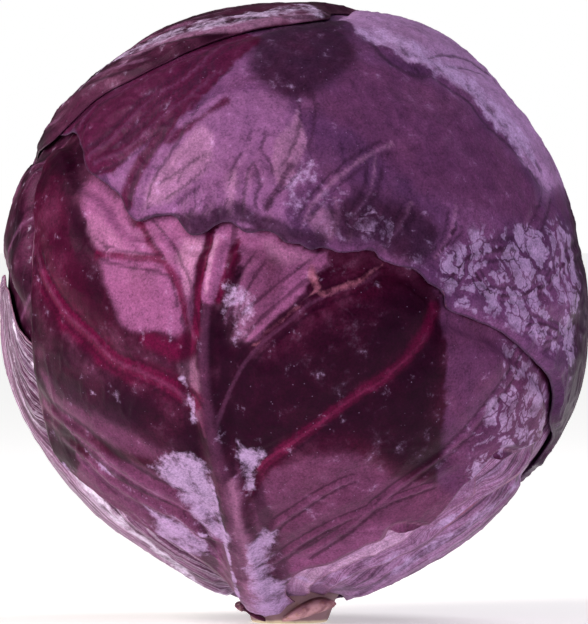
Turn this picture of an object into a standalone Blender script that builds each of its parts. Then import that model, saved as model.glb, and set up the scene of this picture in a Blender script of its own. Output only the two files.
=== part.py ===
# Red cabbage head, standing on its cut stalk, in metres with +Z up.
# The origin is the middle of the stalk's cut face. The front of the head looks along -Y.
# Sizes are in millimetres here, and mm() turns them into metres.
#
# Every leaf is a bowed sheet, cut from the head's own rounded form by its outline. The leaves lie
# over each other like shells: each one that is covered is pressed in by the leaves that cover it.

import math

import bmesh
import bpy
import numpy as np

# Driving dimensions
HEAD_CENTRE = (1.8, 0.0, 87.0)
LEAF_THICKNESS = 1.2
LEAF_GAP = 0.4
STALK_FACE_RADIUS = 11.0
STALK_NECK_RADIUS = 12.4
STALK_NECK_HEIGHT = 1.4
STALK_HEIGHT = 16.0
STALK_CLEARANCE = 0.4
STUB_THICKNESS = 1.4
STUB_LOWEST = 0.9

# The head's radius, by the angle down from its top in degrees, as seen from the front
RIGHT_PROFILE = [
    (0, 82.9), (12, 82.8), (26, 84.1), (35, 82.8), (45, 81.6), (70, 79.1), (90, 79.3), (97, 80.2),
    (105, 81.3), (116, 80.5), (127, 79.2), (140, 80.2), (150, 80.2), (158, 81.4), (173, 83.2), (180, 84.5),
]
LEFT_PROFILE = [
    (0, 82.9), (25, 83.8), (50, 84.1), (65, 83.3), (82, 81.4), (95, 81.3), (112, 80.8), (121, 79.9),
    (130, 79.1), (150, 78.6), (160, 80.8), (169, 83.7), (180, 84.5),
]

# How far past a leaf's edge the sheet below stays pressed in, and how wide it takes to come back
PRESSED_PAST_EDGE = 14.0
PRESSED_RISE = 14.0

# Radii between which a leaf's outline is cut through the head's form, and its rows and columns
CUT_INSIDE_RADIUS = 55.0
CUT_OUTSIDE_RADIUS = 98.0
OUTLINE_ROWS = 18
OUTLINE_COLUMNS = 5

RIB_SIDES = 10
RIB_STEPS = 20
STALK_SIDES = 32
STUB_STEPS = 8

LEAF_ROUGHNESS = 0.4

# Each leaf from the outermost in, by its two edges and its midrib, from base to tip. A point is
# (longitude, latitude) on the head in degrees: longitude 0 is the front, 90 the right, 180 the back.
LEAVES = [
    {
        "name": "crown_leaf",
        "colour": (0.30, 0.12, 0.27),
        "left": [(-154, -82), (-162, -50), (-170, -20), (180, 8), (158, 32), (120, 54), (60, 70), (0, 76), (-24, 71)],
        "midrib": [(-134, -82), (-132, -45), (-125, -5), (-115, 35), (-85, 60), (-32, 68)],
        "right": [(-114, -82), (-100, -50), (-96, -20), (-92, 10), (-84, 33), (-74, 47), (-56, 57), (-40, 66)],
        "rib": {"from": 0.03, "to": 0.5, "base": (6.0, 4.6), "end": (1.8, 1.5)},
    },
    {
        "name": "cap_leaf",
        "colour": (0.26, 0.09, 0.24),
        "left": [
            (138, -82), (146, -50), (154, -20), (166, 10), (-176, 34), (-130, 44), (-83, 36),
            (-58, 31), (-45, 24), (-35, 17), (-20, 16), (-7, 15), (7, 12),
        ],
        "midrib": [(120, -82), (118, -45), (112, -10), (100, 25), (80, 50), (45, 52), (20, 32), (10, 12)],
        "right": [
            (102, -82), (92, -60), (80, -44), (76, -32), (71, -23), (55, -10),
            (43, -5), (33, -2), (27, 4), (20, 9), (13, 11),
        ],
        "rib": {"from": 0.03, "to": 0.4, "base": (6.0, 4.6), "end": (1.8, 1.5)},
    },
    {
        "name": "front_leaf",
        "colour": (0.22, 0.03, 0.10),
        "left": [
            (-40, -82), (-46, -68), (-42, -56), (-52, -46), (-69, -31), (-67, -20),
            (-64, -7), (-64, 6), (-67, 17), (-75, 30), (-72, 44), (-50, 55), (-25, 57),
        ],
        "midrib": [
            (-6, -82), (-18, -66), (-20, -55), (-16, -41), (-18, -15), (-16, 5), (-15, 27), (-18, 42), (-20, 56),
        ],
        "right": [
            (28, -82), (0, -71), (-7, -66), (6, -62), (22, -57), (30, -52), (38, -49), (46, -38),
            (51, -30), (61, -30), (73, -24), (76, -8), (70, 12), (55, 32), (28, 48), (-15, 57),
        ],
        "rib": {"from": 0.03, "to": 0.62, "base": (8.0, 5.2), "end": (1.8, 1.5)},
    },
    {
        "name": "lower_right_flap",
        "colour": (0.40, 0.17, 0.33),
        "left": [(-12, -82), (-8, -66), (4, -54), (22, -40), (40, -32)],
        "midrib": [(6, -82), (13, -66), (31, -53), (43, -43), (50, -32)],
        "right": [(22, -82), (21, -71), (33, -61), (44, -52), (52, -42), (53, -34)],
    },
    {
        "name": "lower_left_leaf",
        "colour": (0.50, 0.36, 0.52),
        "left": [(-85, -82), (-105, -62), (-116, -42), (-113, -18), (-100, -2), (-86, 5), (-77, 5)],
        "midrib": [(-66, -82), (-72, -62), (-80, -42), (-84, -22), (-80, -6), (-75, 4)],
        "right": [(-26, -82), (-28, -58), (-38, -40), (-44, -22), (-52, -5), (-62, 3), (-71, 5)],
    },
    {
        "name": "right_leaf",
        "colour": (0.30, 0.12, 0.27),
        "left": [(6, -82), (12, -62), (26, -38), (42, -12), (54, 14), (70, 30)],
        "midrib": [(20, -82), (27, -62), (44, -45), (60, -26), (70, 0), (76, 30)],
        "right": [(36, -82), (31, -67), (45, -58), (55, -46), (68, -35), (77, -22), (86, 4), (84, 28)],
    },
    {
        "name": "left_leaf",
        "colour": (0.24, 0.06, 0.15),
        "left": [(-110, -82), (-135, -50), (-142, -15), (-132, 20), (-108, 44), (-82, 52)],
        "midrib": [(-90, -82), (-90, -50), (-91, -15), (-86, 20), (-74, 52)],
        "right": [(-70, -82), (-52, -50), (-46, -15), (-44, 15), (-52, 40), (-66, 52)],
    },
    {
        "name": "right_back_leaf",
        "colour": (0.45, 0.22, 0.40),
        "left": [(14, -82), (18, -64), (38, -44), (54, -24), (71, 4), (91, 22)],
        "midrib": [(60, -82), (66, -60), (80, -40), (91, -15), (97, 22)],
        "right": [(78, -82), (98, -62), (114, -42), (120, -15), (114, 8), (103, 22)],
    },
    {
        "name": "back_leaf",
        "colour": (0.28, 0.10, 0.24),
        "left": [(196, -82), (214, -55), (226, -20), (224, 15), (208, 42), (182, 54)],
        "midrib": [(176, -82), (176, -50), (174, -10), (174, 30), (175, 56)],
        "right": [(156, -82), (138, -55), (126, -20), (126, 15), (142, 42), (168, 54)],
        "rib": {"from": 0.03, "to": 0.55, "base": (6.0, 4.4), "end": (1.6, 1.4)},
    },
]

# What is left of the outer leaves that were trimmed off beside the stalk: from and to, in degrees
# of longitude, how far out each reaches, and its colour
LEAF_STUBS = [
    {"name": "cut_leaf_stub_left", "span": (-72, -34), "reach": 16.6, "colour": (0.20, 0.03, 0.08)},
    {"name": "cut_leaf_stub_right", "span": (6, 66), "reach": 17.6, "colour": (0.52, 0.30, 0.33)},
    {"name": "cut_leaf_stub_back", "span": (204, 262), "reach": 18.0, "colour": (0.52, 0.30, 0.33)},
]


def mm(value):
    return value * 0.001


def clear_scene():
    for obj in list(bpy.data.objects):
        bpy.data.objects.remove(obj, do_unlink=True)


def material(name, colour, roughness):
    made = bpy.data.materials.new(name)
    made.use_nodes = True
    shader = made.node_tree.nodes["Principled BSDF"]
    shader.inputs["Base Color"].default_value = (*colour, 1.0)
    shader.inputs["Roughness"].default_value = roughness
    shader.inputs["Metallic"].default_value = 0.0
    return made


def smooth_step(value):
    t = np.clip(value, 0.0, 1.0)
    return t * t * (3.0 - 2.0 * t)


def through(points, at):
    # A smooth curve through the points (rows), read at shares of its length from 0 to 1
    points = np.asarray(points, float)
    steps = np.linalg.norm(np.diff(points, axis=0), axis=1)
    knots = np.concatenate([[0.0], np.cumsum(steps)]) / steps.sum()
    slopes = np.gradient(points, knots, axis=0)
    span = np.clip(np.searchsorted(knots, at, side="right") - 1, 0, len(knots) - 2)
    width = (knots[span + 1] - knots[span])[:, None]
    t = (at[:, None] - knots[span][:, None]) / width
    return (
        (2 * t**3 - 3 * t**2 + 1) * points[span]
        + (t**3 - 2 * t**2 + t) * width * slopes[span]
        + (3 * t**2 - 2 * t**3) * points[span + 1]
        + (t**3 - t**2) * width * slopes[span + 1]
    )


def directions(lon_lat):
    lon, lat = np.radians(np.asarray(lon_lat, float)).T
    return np.stack([np.sin(lon) * np.cos(lat), -np.cos(lon) * np.cos(lat), np.sin(lat)], axis=1)


def unit(vectors):
    return vectors / np.linalg.norm(vectors, axis=-1, keepdims=True)


def head_radius(ways):
    # The left and right profiles, blended round the head, in millimetres
    down = np.degrees(np.arccos(np.clip(ways[:, 2], -1.0, 1.0)))
    right, left = (np.interp(down, *np.array(profile, float).T) for profile in (RIGHT_PROFILE, LEFT_PROFILE))
    flat = np.hypot(ways[:, 0], ways[:, 1])
    rightness = 0.5 + 0.5 * ways[:, 0] / np.maximum(flat, 0.05)
    return left + (right - left) * np.clip(rightness, 0.0, 1.0)


def leaf_rows(leaf, rows, columns):
    # Unit vectors over the leaf: each row runs from its left edge over the midrib to its right edge
    along = np.linspace(0.0, 1.0, rows)
    left, middle, right = (
        unit(through(directions(leaf[part]), along)) for part in ("left", "midrib", "right")
    )
    across = np.linspace(0.0, 1.0, columns + 1)[None, :, None]
    first_half = left[:, None] * (1 - across) + middle[:, None] * across
    second_half = middle[:, None] * (1 - across[:, 1:]) + right[:, None] * across[:, 1:]
    return unit(np.concatenate([first_half, second_half], axis=1))


def mesh_object(name, points_mm, faces):
    mesh = bpy.data.meshes.new(name)
    mesh.from_pydata([tuple(mm(c) for c in p) for p in points_mm], [], faces)
    shape = bmesh.new()
    shape.from_mesh(mesh)
    bmesh.ops.recalc_face_normals(shape, faces=shape.faces)
    shape.to_mesh(mesh)
    shape.free()
    obj = bpy.data.objects.new(name, mesh)
    bpy.context.scene.collection.objects.link(obj)
    return obj


def outline_solid(leaf):
    # The leaf's outline as a thick block cut radially through the head
    rows = leaf_rows(leaf, OUTLINE_ROWS, OUTLINE_COLUMNS)
    count, width = rows.shape[:2]
    layer = count * width
    points = np.concatenate(
        [np.array(HEAD_CENTRE) + rows.reshape(-1, 3) * r for r in (CUT_INSIDE_RADIUS, CUT_OUTSIDE_RADIUS)]
    )
    faces = []
    for r in range(count - 1):
        for c in range(width - 1):
            a = r * width + c
            cell = (a, a + 1, a + width + 1, a + width)
            faces.append(cell[::-1])
            faces.append(tuple(i + layer for i in cell))
    rim = [c for c in range(width)]
    rim += [r * width + width - 1 for r in range(1, count)]
    rim += [(count - 1) * width + c for c in range(width - 2, -1, -1)]
    rim += [r * width for r in range(count - 2, 0, -1)]
    for a, b in zip(rim, rim[1:] + rim[:1]):
        faces.append((a, b, b + layer, a + layer))
    return mesh_object(leaf["name"], points, faces)


def ball(name, ways, faces, radii):
    return mesh_object(name, np.array(HEAD_CENTRE) + ways * radii[:, None], faces)


def boolean(obj, operation, other):
    modifier = obj.modifiers.new(operation.lower(), "BOOLEAN")
    modifier.operation = operation
    modifier.object = other


def midrib_rod(leaf, leaves_above):
    # The thick midrib, a tapered oval rod along the leaf's middle, trimmed to the sheet's inside later
    rib = leaf["rib"]
    along = np.linspace(rib["from"], rib["to"], RIB_STEPS)
    ways = unit(through(directions(leaf["midrib"]), along))
    share = np.linspace(0.0, 1.0, RIB_STEPS)[:, None] ** 0.6
    half_width, half_height = (np.array(rib["base"]) * (1 - share) + np.array(rib["end"]) * share).T
    radii = head_radius(ways) - pressing(leaves_above, ways) - 0.45 * half_height
    centres = np.array(HEAD_CENTRE) + ways * radii[:, None]
    sides = RIB_SIDES
    points, faces = [], []
    for i, centre in enumerate(centres):
        forward = unit(centres[min(i + 1, len(centres) - 1)] - centres[max(i - 1, 0)])
        sideways = unit(np.cross(forward, ways[i]))
        upwards = np.cross(sideways, forward)
        for k in range(sides):
            turn = 2 * math.pi * k / sides
            across = half_width[i] * math.cos(turn) * sideways
            points.append(centre + across + half_height[i] * math.sin(turn) * upwards)
    for i in range(len(centres) - 1):
        for k in range(sides):
            a, b = i * sides + k, i * sides + (k + 1) % sides
            faces.append((a, b, b + sides, a + sides))
    faces.append(tuple(range(sides)))
    faces.append(tuple(range((len(centres) - 1) * sides, len(centres) * sides))[::-1])
    return mesh_object("cut_midrib_of_" + leaf["name"], points, faces)


def cover(leaf, ways):
    # 1 where this leaf lies over the head, falling to 0 a little past its edge
    sheet = leaf_rows(leaf, 3 * OUTLINE_ROWS, 3 * OUTLINE_COLUMNS).reshape(-1, 3)
    nearest = np.min([np.linalg.norm(ways - p, axis=1) for p in sheet], axis=0) * head_radius(ways)
    return 1.0 - smooth_step((nearest - PRESSED_PAST_EDGE) / PRESSED_RISE)


def pressing(leaves, ways):
    # How deep the head's surface is pressed in by these leaves
    return (LEAF_THICKNESS + LEAF_GAP) * sum((cover(leaf, ways) for leaf in leaves), np.zeros(len(ways)))


def turned(name, profile_mm, steps):
    # A solid of revolution about the Z axis, from (radius, height) points
    points, faces = [], []
    for radius, height in profile_mm:
        for k in range(steps):
            turn = 2 * math.pi * k / steps
            points.append((radius * math.cos(turn), radius * math.sin(turn), height))
    for i in range(len(profile_mm) - 1):
        for k in range(steps):
            a, b = i * steps + k, i * steps + (k + 1) % steps
            faces.append((a, b, b + steps, a + steps))
    faces.append(tuple(range(steps)))
    faces.append(tuple(range((len(profile_mm) - 1) * steps, len(profile_mm) * steps)))
    return mesh_object(name, points, faces)


def leaf_stub(stub):
    # A short curved scrap round the stalk's neck, thin at both ends, under the lowest leaves
    start, end = (math.radians(a) for a in stub["span"])
    inner = STALK_NECK_RADIUS + STALK_CLEARANCE
    points, faces = [], []
    for i in range(STUB_STEPS + 1):
        lon = start + (end - start) * i / STUB_STEPS
        fullness = 0.35 + 0.65 * math.sin(math.pi * i / STUB_STEPS)
        out = inner + (stub["reach"] - inner) * fullness
        rise = 0.24 * (out - inner) + 0.6
        low = STUB_LOWEST + 0.6 * (1 - fullness)
        section = [
            (inner, low),
            (inner + STUB_THICKNESS, low),
            (out, low + rise),
            (out - 0.4, low + rise + 0.9),
            (inner, low + 1.9),
        ]
        for radius, height in section:
            points.append((radius * math.sin(lon), -radius * math.cos(lon), height))
    for i in range(STUB_STEPS):
        for k in range(5):
            a, b = i * 5 + k, i * 5 + (k + 1) % 5
            faces.append((a, b, b + 5, a + 5))
    faces.append(tuple(range(5)))
    faces.append(tuple(range(STUB_STEPS * 5, STUB_STEPS * 5 + 5)))
    return mesh_object(stub["name"], points, faces)


def ball_mesh():
    shape = bmesh.new()
    bmesh.ops.create_icosphere(shape, subdivisions=4, radius=1.0)
    ways = unit(np.array([v.co[:] for v in shape.verts]))
    faces = [tuple(v.index for v in f.verts) for f in shape.faces]
    shape.free()
    return ways, faces


def settle(obj, colour, roughness):
    # The finished mesh takes the place of the modifiers, smooth but for its sharp edges
    evaluated = obj.evaluated_get(bpy.context.evaluated_depsgraph_get())
    obj.data = bpy.data.meshes.new_from_object(evaluated)
    obj.modifiers.clear()
    obj.data.shade_smooth()
    obj.data.set_sharp_from_angle(angle=math.radians(35.0))
    obj.data.materials.clear()
    obj.data.materials.append(material(obj.name, colour, roughness))


def build():
    clear_scene()
    ways, faces = ball_mesh()
    outside = head_radius(ways)
    neck_hole = turned(
        "cut_neck_hole",
        [(STALK_NECK_RADIUS + STALK_CLEARANCE, -5.0), (STALK_NECK_RADIUS + STALK_CLEARANCE, 40.0)],
        STALK_SIDES,
    )
    cutters = [neck_hole]
    for place, leaf in enumerate(LEAVES):
        name = leaf["name"]
        above = LEAVES[:place]
        top = outside - pressing(above, ways)
        outer = ball("cut_outside_of_" + name, ways, faces, top)
        inner = ball("cut_inside_of_" + name, ways, faces, top - LEAF_THICKNESS)
        cutters += [outer, inner]
        obj = outline_solid(leaf)
        boolean(obj, "INTERSECT", outer)
        if "rib" in leaf:
            rod = midrib_rod(leaf, above)
            cutters.append(rod)
            boolean(obj, "UNION", rod)
        boolean(obj, "DIFFERENCE", inner)
        boolean(obj, "DIFFERENCE", neck_hole)
        settle(obj, leaf["colour"], LEAF_ROUGHNESS)
    for cutter in cutters:
        bpy.data.objects.remove(cutter, do_unlink=True)

    head = ball("inner_head", ways, faces, outside - pressing(LEAVES, ways))
    for vertex in head.data.vertices:
        vertex.co.z = max(vertex.co.z, mm(STALK_HEIGHT + STALK_CLEARANCE))
    settle(head, (0.33, 0.10, 0.27), LEAF_ROUGHNESS)

    stalk_profile = [
        (STALK_FACE_RADIUS, 0.0),
        (STALK_NECK_RADIUS, STALK_NECK_HEIGHT),
        (STALK_NECK_RADIUS, STALK_HEIGHT),
    ]
    settle(turned("stalk", stalk_profile, STALK_SIDES), (0.62, 0.45, 0.47), 0.6)
    for stub in LEAF_STUBS:
        settle(leaf_stub(stub), stub["colour"], 0.55)


build()
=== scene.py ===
# Red cabbage head on its cut stalk: fine leaves, veins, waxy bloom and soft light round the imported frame
import math

import bpy
import numpy as np
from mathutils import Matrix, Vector, kdtree, noise


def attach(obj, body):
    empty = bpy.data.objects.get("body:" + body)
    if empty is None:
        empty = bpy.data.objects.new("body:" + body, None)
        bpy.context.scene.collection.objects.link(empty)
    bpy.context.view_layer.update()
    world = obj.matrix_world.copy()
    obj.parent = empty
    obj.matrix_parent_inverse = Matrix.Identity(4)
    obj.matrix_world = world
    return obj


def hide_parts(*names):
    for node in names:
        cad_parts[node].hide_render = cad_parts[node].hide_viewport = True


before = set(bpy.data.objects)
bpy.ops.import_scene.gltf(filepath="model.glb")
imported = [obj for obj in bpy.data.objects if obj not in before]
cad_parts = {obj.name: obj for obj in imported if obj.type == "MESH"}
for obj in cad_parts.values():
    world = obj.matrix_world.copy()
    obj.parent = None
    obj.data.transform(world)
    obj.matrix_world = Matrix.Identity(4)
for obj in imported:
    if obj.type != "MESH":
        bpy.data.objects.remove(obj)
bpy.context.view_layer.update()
print("frame loaded:", sorted(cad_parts))

# Sizes are in millimetres until a mesh is made, and places on the head are directions from its centre
metre = 0.001
detail = 1  # how many times coarser the leaves' grids are

head = {
    "centre": np.array([1.8, 0.0, 87.0]),
    "meanRadius": 82.0,
    # Radius by the angle down from the top, as seen from the front
    "right": [
        (0, 82.9), (12, 82.8), (26, 84.1), (35, 82.9), (45, 81.6), (70, 79.2), (90, 79.3), (97, 80.1),
        (105, 81.1), (116, 80.6), (127, 79.6), (140, 79.9), (150, 80.2), (158, 81.4), (173, 83.0),
        (180, 84.0),
    ],
    "left": [
        (0, 82.9), (25, 83.8), (50, 84.1), (65, 83.3), (82, 81.4), (95, 81.3), (112, 80.8), (121, 79.9),
        (130, 79.1), (150, 78.6), (160, 80.6), (169, 83.2), (180, 84.0),
    ],
    "cornerRounding": 4.5,  # degrees over which the corners of these outlines are rounded off
}

view = {
    "photoWidth": 588,
    "photoHeight": 624,
    "mmPerPixel": 0.2744,
    "stalkColumn": 289.0,  # pixel column over the stalk's middle
    "floorRow": 622.0,  # pixel row of the floor under the stalk
    "distance": 2600.0,
    "elevation": 1.0,  # degrees
}

leafMake = {
    "thickness": 0.95,
    "rimThickness": 0.34,
    "rimTaper": 6.0,  # how far in from the margin the sheet reaches its full thickness
    "rimDepth": 0.55,  # how far down its edge the rolled rim lies, as a share of the thickness
    "gap": 0.22,
    "reliefRoom": 1.2,  # the sheet lies this far in, and its relief rises from there
    "pressedPast": 2.8,  # how far past a covering margin the sheet below stays pressed in
    "pressedRise": 8.0,  # and over how far it then comes up again
    "innerStep": 3,  # one inner cell for so many outer cells each way
    "curlReach": 2.6,  # how far in a margin is lifted
    "curlWaves": 14.0,  # how far apart that lift's ups and downs lie
    "ragWaves": 9.0,  # how far apart a ragged margin's waves lie
    "ragTeeth": 1.7,  # and its small torn teeth
    "paintWobble": 1.7,  # how far a painted edge strays
    "paintWaves": 8.0,
    "neckClearance": 12.9,  # the sheets stay this far from the stalk's axis
    "floorClearance": 0.3,
}


def unit(vectors):
    return vectors / np.linalg.norm(vectors, axis=-1, keepdims=True)


def smoothStep(value):
    t = np.clip(value, 0.0, 1.0)
    return t * t * (3.0 - 2.0 * t)


def profileTable(points):
    # One radius for each degree down from the top, with the corners between the points rounded off
    degrees = np.arange(-20, 201)
    down, radius = np.array(points, float).T
    table = np.interp(np.abs(degrees), down, radius)
    table[degrees > 180] = np.interp(360 - degrees[degrees > 180], down, radius)
    spread = np.exp(-0.5 * (np.arange(-12, 13) / head["cornerRounding"]) ** 2)
    return np.convolve(table, spread / spread.sum(), mode="same")[20:201]


headTables = {side: profileTable(head[side]) for side in ("left", "right")}


def headRadius(ways):
    down = np.degrees(np.arccos(np.clip(ways[..., 2], -1.0, 1.0)))
    right, left = (np.interp(down, np.arange(181), headTables[side]) for side in ("right", "left"))
    flat = np.hypot(ways[..., 0], ways[..., 1])
    rightness = np.clip(0.5 + 0.5 * ways[..., 0] / np.maximum(flat, 0.05), 0.0, 1.0)
    return left + (right - left) * rightness


def viewAxes():
    lift = math.radians(view["elevation"])
    return (
        np.array([1.0, 0.0, 0.0]),
        np.array([0.0, math.sin(lift), math.cos(lift)]),
        np.array([0.0, -math.cos(lift), math.sin(lift)]),
    )


def viewTarget():
    # The point that the photo's middle pixel looks at
    across = (view["photoWidth"] / 2 - view["stalkColumn"]) * view["mmPerPixel"]
    up = (view["floorRow"] - view["photoHeight"] / 2) * view["mmPerPixel"]
    return np.array([across, 0.0, up])


def seen(*pixels):
    # Directions on the head's surface that these pixels of the photo look at
    rightWay, upWay, backWay = viewAxes()
    target = viewTarget()
    eye = target + backWay * view["distance"]
    offset = np.array(pixels, float) - (view["photoWidth"] / 2, view["photoHeight"] / 2)
    aim = target + view["mmPerPixel"] * (offset[:, :1] * rightWay - offset[:, 1:] * upWay)
    ray = unit(aim - eye)
    toCentre = head["centre"] - eye
    along = ray @ toCentre
    miss = np.linalg.norm(eye + ray * along[:, None] - head["centre"], axis=1)
    radius = np.full(len(ray), 81.0)  # a first guess
    for _ in range(5):
        depth = np.sqrt(np.maximum(radius**2 - miss**2, 0.0))
        ways = unit(eye + ray * (along - depth)[:, None] - head["centre"])
        radius = headRadius(ways)
    return ways


def around(*places):
    # Directions from (longitude, latitude) in degrees: longitude 0 is the front, 90 the right
    lon, lat = np.radians(np.array(places, float)).T
    return np.stack([np.sin(lon) * np.cos(lat), -np.cos(lon) * np.cos(lat), np.sin(lat)], axis=1)


def route(*stretches):
    return np.concatenate(stretches)


def through(points, at):
    # A smooth curve through the points, read at shares of its length from 0 to 1
    points = np.asarray(points, float)
    steps = np.linalg.norm(np.diff(points, axis=0), axis=1)
    knots = np.concatenate([[0.0], np.cumsum(steps)]) / steps.sum()
    slopes = np.gradient(points, knots, axis=0)
    span = np.clip(np.searchsorted(knots, at, side="right") - 1, 0, len(knots) - 2)
    width = (knots[span + 1] - knots[span])[:, None]
    t = (at[:, None] - knots[span][:, None]) / width
    return (
        (2 * t**3 - 3 * t**2 + 1) * points[span]
        + (t**3 - 2 * t**2 + t) * width * slopes[span]
        + (3 * t**2 - 2 * t**3) * points[span + 1]
        + (t**3 - t**2) * width * slopes[span + 1]
    )


def hexColour(code):
    channels = [int(code[i:i + 2], 16) / 255 for i in (1, 3, 5)]
    linear = [c / 12.92 if c <= 0.04045 else ((c + 0.055) / 1.055) ** 2.4 for c in channels]
    return (*linear, 1.0)


smooth = {"interpolation_type": "SMOOTHSTEP"}  # for a Map Range with eased ends


def addNode(tree, kind, inputs=None, **settings):
    # One node with its settings; an input is a node, for its first output, a socket or a plain value
    node = tree.nodes.new(kind)
    for key, value in settings.items():
        setattr(node, key, value)
    for socket, value in (inputs or {}).items():
        if isinstance(value, bpy.types.Node):
            value = next(output for output in value.outputs if output.enabled)
        if isinstance(value, bpy.types.NodeSocket):
            tree.links.new(value, node.inputs[socket])
        else:
            node.inputs[socket].default_value = value
    return node


def fractal(points, size, seed, octaves=4):
    # Smooth noise between about -1 and 1 at these places, with features of about this size
    offset = Vector((17.3 * seed, 5.1 * seed, 9.7 * seed))
    return np.array([noise.fractal(Vector(p) / size + offset, 0.8, 2.1, octaves) for p in points])


def nearestDistance(ways, targets, chunk=6000):
    # Millimetres over the head from each direction to the nearest target direction
    nearest = [np.max(ways[i:i + chunk] @ targets.T, axis=1) for i in range(0, len(ways), chunk)]
    return head["meanRadius"] * np.sqrt(np.maximum(2.0 - 2.0 * np.concatenate(nearest), 0.0))


def denseRoute(ways, spacing):
    # The same route with a point about every spacing millimetres, and its length
    length = np.linalg.norm(np.diff(ways, axis=0), axis=1).sum() * head["meanRadius"]
    return unit(through(ways, np.linspace(0.0, 1.0, max(3, int(length / spacing))))), length


def raggedEdge(ways, amount, seed):
    # Moves a margin sideways over the head, in waves and in small torn teeth
    if amount == 0.0:
        return ways
    along = unit(np.gradient(ways, axis=0))
    side = np.cross(ways, along)
    places = ways * head["meanRadius"]
    wave = fractal(places, leafMake["ragWaves"], seed) * amount
    teeth = fractal(places, leafMake["ragTeeth"], seed + 3, 2) * amount * 0.35
    fromEnd = np.minimum(np.arange(len(ways)), np.arange(len(ways))[::-1])
    ends = smoothStep(fromEnd / 8.0)
    return unit(ways + side * ((wave + teeth) * ends / head["meanRadius"])[:, None])


def coonsHalf(first, second, top, rowShare, columns):
    # One half of a leaf between two long curves, closed by the tip's curve; its foot is straight
    across = np.linspace(0.0, 1.0, columns + 1)[None, :, None]
    up = rowShare[:, None, None]
    foot = first[:1, None] * (1 - across) + second[:1, None] * across
    ruled = first[:, None] * (1 - across) + second[:, None] * across
    corners = (1 - up) * foot + up * (first[-1:, None] * (1 - across) + second[-1:, None] * across)
    return unit(ruled + (1 - up) * foot + up * top[None] - corners)


def leafWays(leaf):
    rows, columns = leaf["rows"] // detail, leaf["columns"] // detail
    share = np.linspace(0.0, 1.0, rows + 1)
    share = share + leaf.get("crowdTip", 0.0) * share * (1.0 - share)
    rag = leaf["ragged"]
    left = raggedEdge(unit(through(leaf["left"], share)), rag[0], leaf["seed"])
    middle = unit(through(leaf["mid"], share))
    right = raggedEdge(unit(through(leaf["right"], share)), rag[1], leaf["seed"] + 1)
    half = np.linspace(0.0, 1.0, columns + 1)
    tipLeft = unit(through(leaf.get("tipLeft", [left[-1], middle[-1]]), half))
    tipRight = unit(through(leaf.get("tipRight", [middle[-1], right[-1]]), half))
    if "tipLeft" in leaf:
        tipLeft = raggedEdge(tipLeft, rag[2], leaf["seed"] + 2)
        tipRight = raggedEdge(tipRight, rag[2], leaf["seed"] + 4)
    leftHalf = coonsHalf(left, middle, tipLeft, share, columns)
    rightHalf = coonsHalf(middle, right, tipRight, share, columns)
    return np.concatenate([leftHalf, rightHalf[:, 1:]], axis=1)


def coverTable(ways):
    # How far this leaf keeps the head pressed in, for every whole degree of longitude and latitude
    step = 3 if detail == 1 else 2
    border = np.concatenate([ways[0], ways[-1], ways[:, 0], ways[:, -1]])
    places = np.concatenate([ways[::step, ::step].reshape(-1, 3), border]) * head["meanRadius"]
    tree = kdtree.KDTree(len(places))
    for index, place in enumerate(places):
        tree.insert(place, index)
    tree.balance()
    lonGrid, latGrid = np.meshgrid(np.arange(-180, 181), np.arange(-90, 91))
    spots = around(*np.stack([lonGrid.ravel(), latGrid.ravel()], axis=1)) * head["meanRadius"]
    away = np.array([tree.find(spot)[2] for spot in spots]).reshape(lonGrid.shape)
    return 1.0 - smoothStep((away - leafMake["pressedPast"]) / leafMake["pressedRise"])


def readTable(table, ways):
    # The table's value at each direction, blended from the four degrees round it
    lon = np.degrees(np.arctan2(ways[..., 0], -ways[..., 1])) + 180.0
    lat = np.degrees(np.arcsin(np.clip(ways[..., 2], -1.0, 1.0))) + 90.0
    column = np.clip(lon.astype(int), 0, table.shape[1] - 2)
    row = np.clip(lat.astype(int), 0, table.shape[0] - 2)
    a, b = lon - column, lat - row
    return (
        table[row, column] * (1 - a) * (1 - b)
        + table[row, column + 1] * a * (1 - b)
        + table[row + 1, column] * (1 - a) * b
        + table[row + 1, column + 1] * a * b
    )


coverTables = []  # one for each leaf already laid, from the outermost in


def pressedRadius(ways):
    # The head's radius under the leaves already laid, and how many of them lie over each direction
    depth = sum((readTable(table, ways) for table in coverTables), np.zeros(ways.shape[:-1]))
    return headRadius(ways) - (leafMake["thickness"] + leafMake["gap"]) * depth, depth


def setAttribute(mesh, name, values):
    attribute = mesh.attributes.new(name, "FLOAT", "POINT")
    attribute.data.foreach_set("value", np.ascontiguousarray(values, np.float32))


def meshObject(name, places, faces, attributes=None):
    mesh = bpy.data.meshes.new(name)
    mesh.from_pydata((places * metre).tolist(), [], faces)
    mesh.validate()
    for key, values in (attributes or {}).items():
        setAttribute(mesh, key, values)
    mesh.shade_smooth()
    obj = bpy.data.objects.new(name, mesh)
    bpy.context.scene.collection.objects.link(obj)
    return obj


def gridFaces(rows, columns, start=0, flip=False):
    faces = []
    for r in range(rows - 1):
        for c in range(columns - 1):
            a = start + r * columns + c
            face = (a, a + 1, a + columns + 1, a + columns)
            faces.append(face[::-1] if flip else face)
    return faces


def turnedFaces(rings, columns):
    # Faces over rings of points from the bottom up, closed by two more points: the bottom's and the top's
    faces = []
    for ring in range(rings - 1):
        for c in range(columns):
            a, b = ring * columns + c, ring * columns + (c + 1) % columns
            faces.append((a, b, b + columns, a + columns))
    bottom, top, last = rings * columns, rings * columns + 1, (rings - 1) * columns
    for c in range(columns):
        after = (c + 1) % columns
        faces.append((bottom, after, c))
        faces.append((top, last + c, last + after))
    return faces


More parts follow.
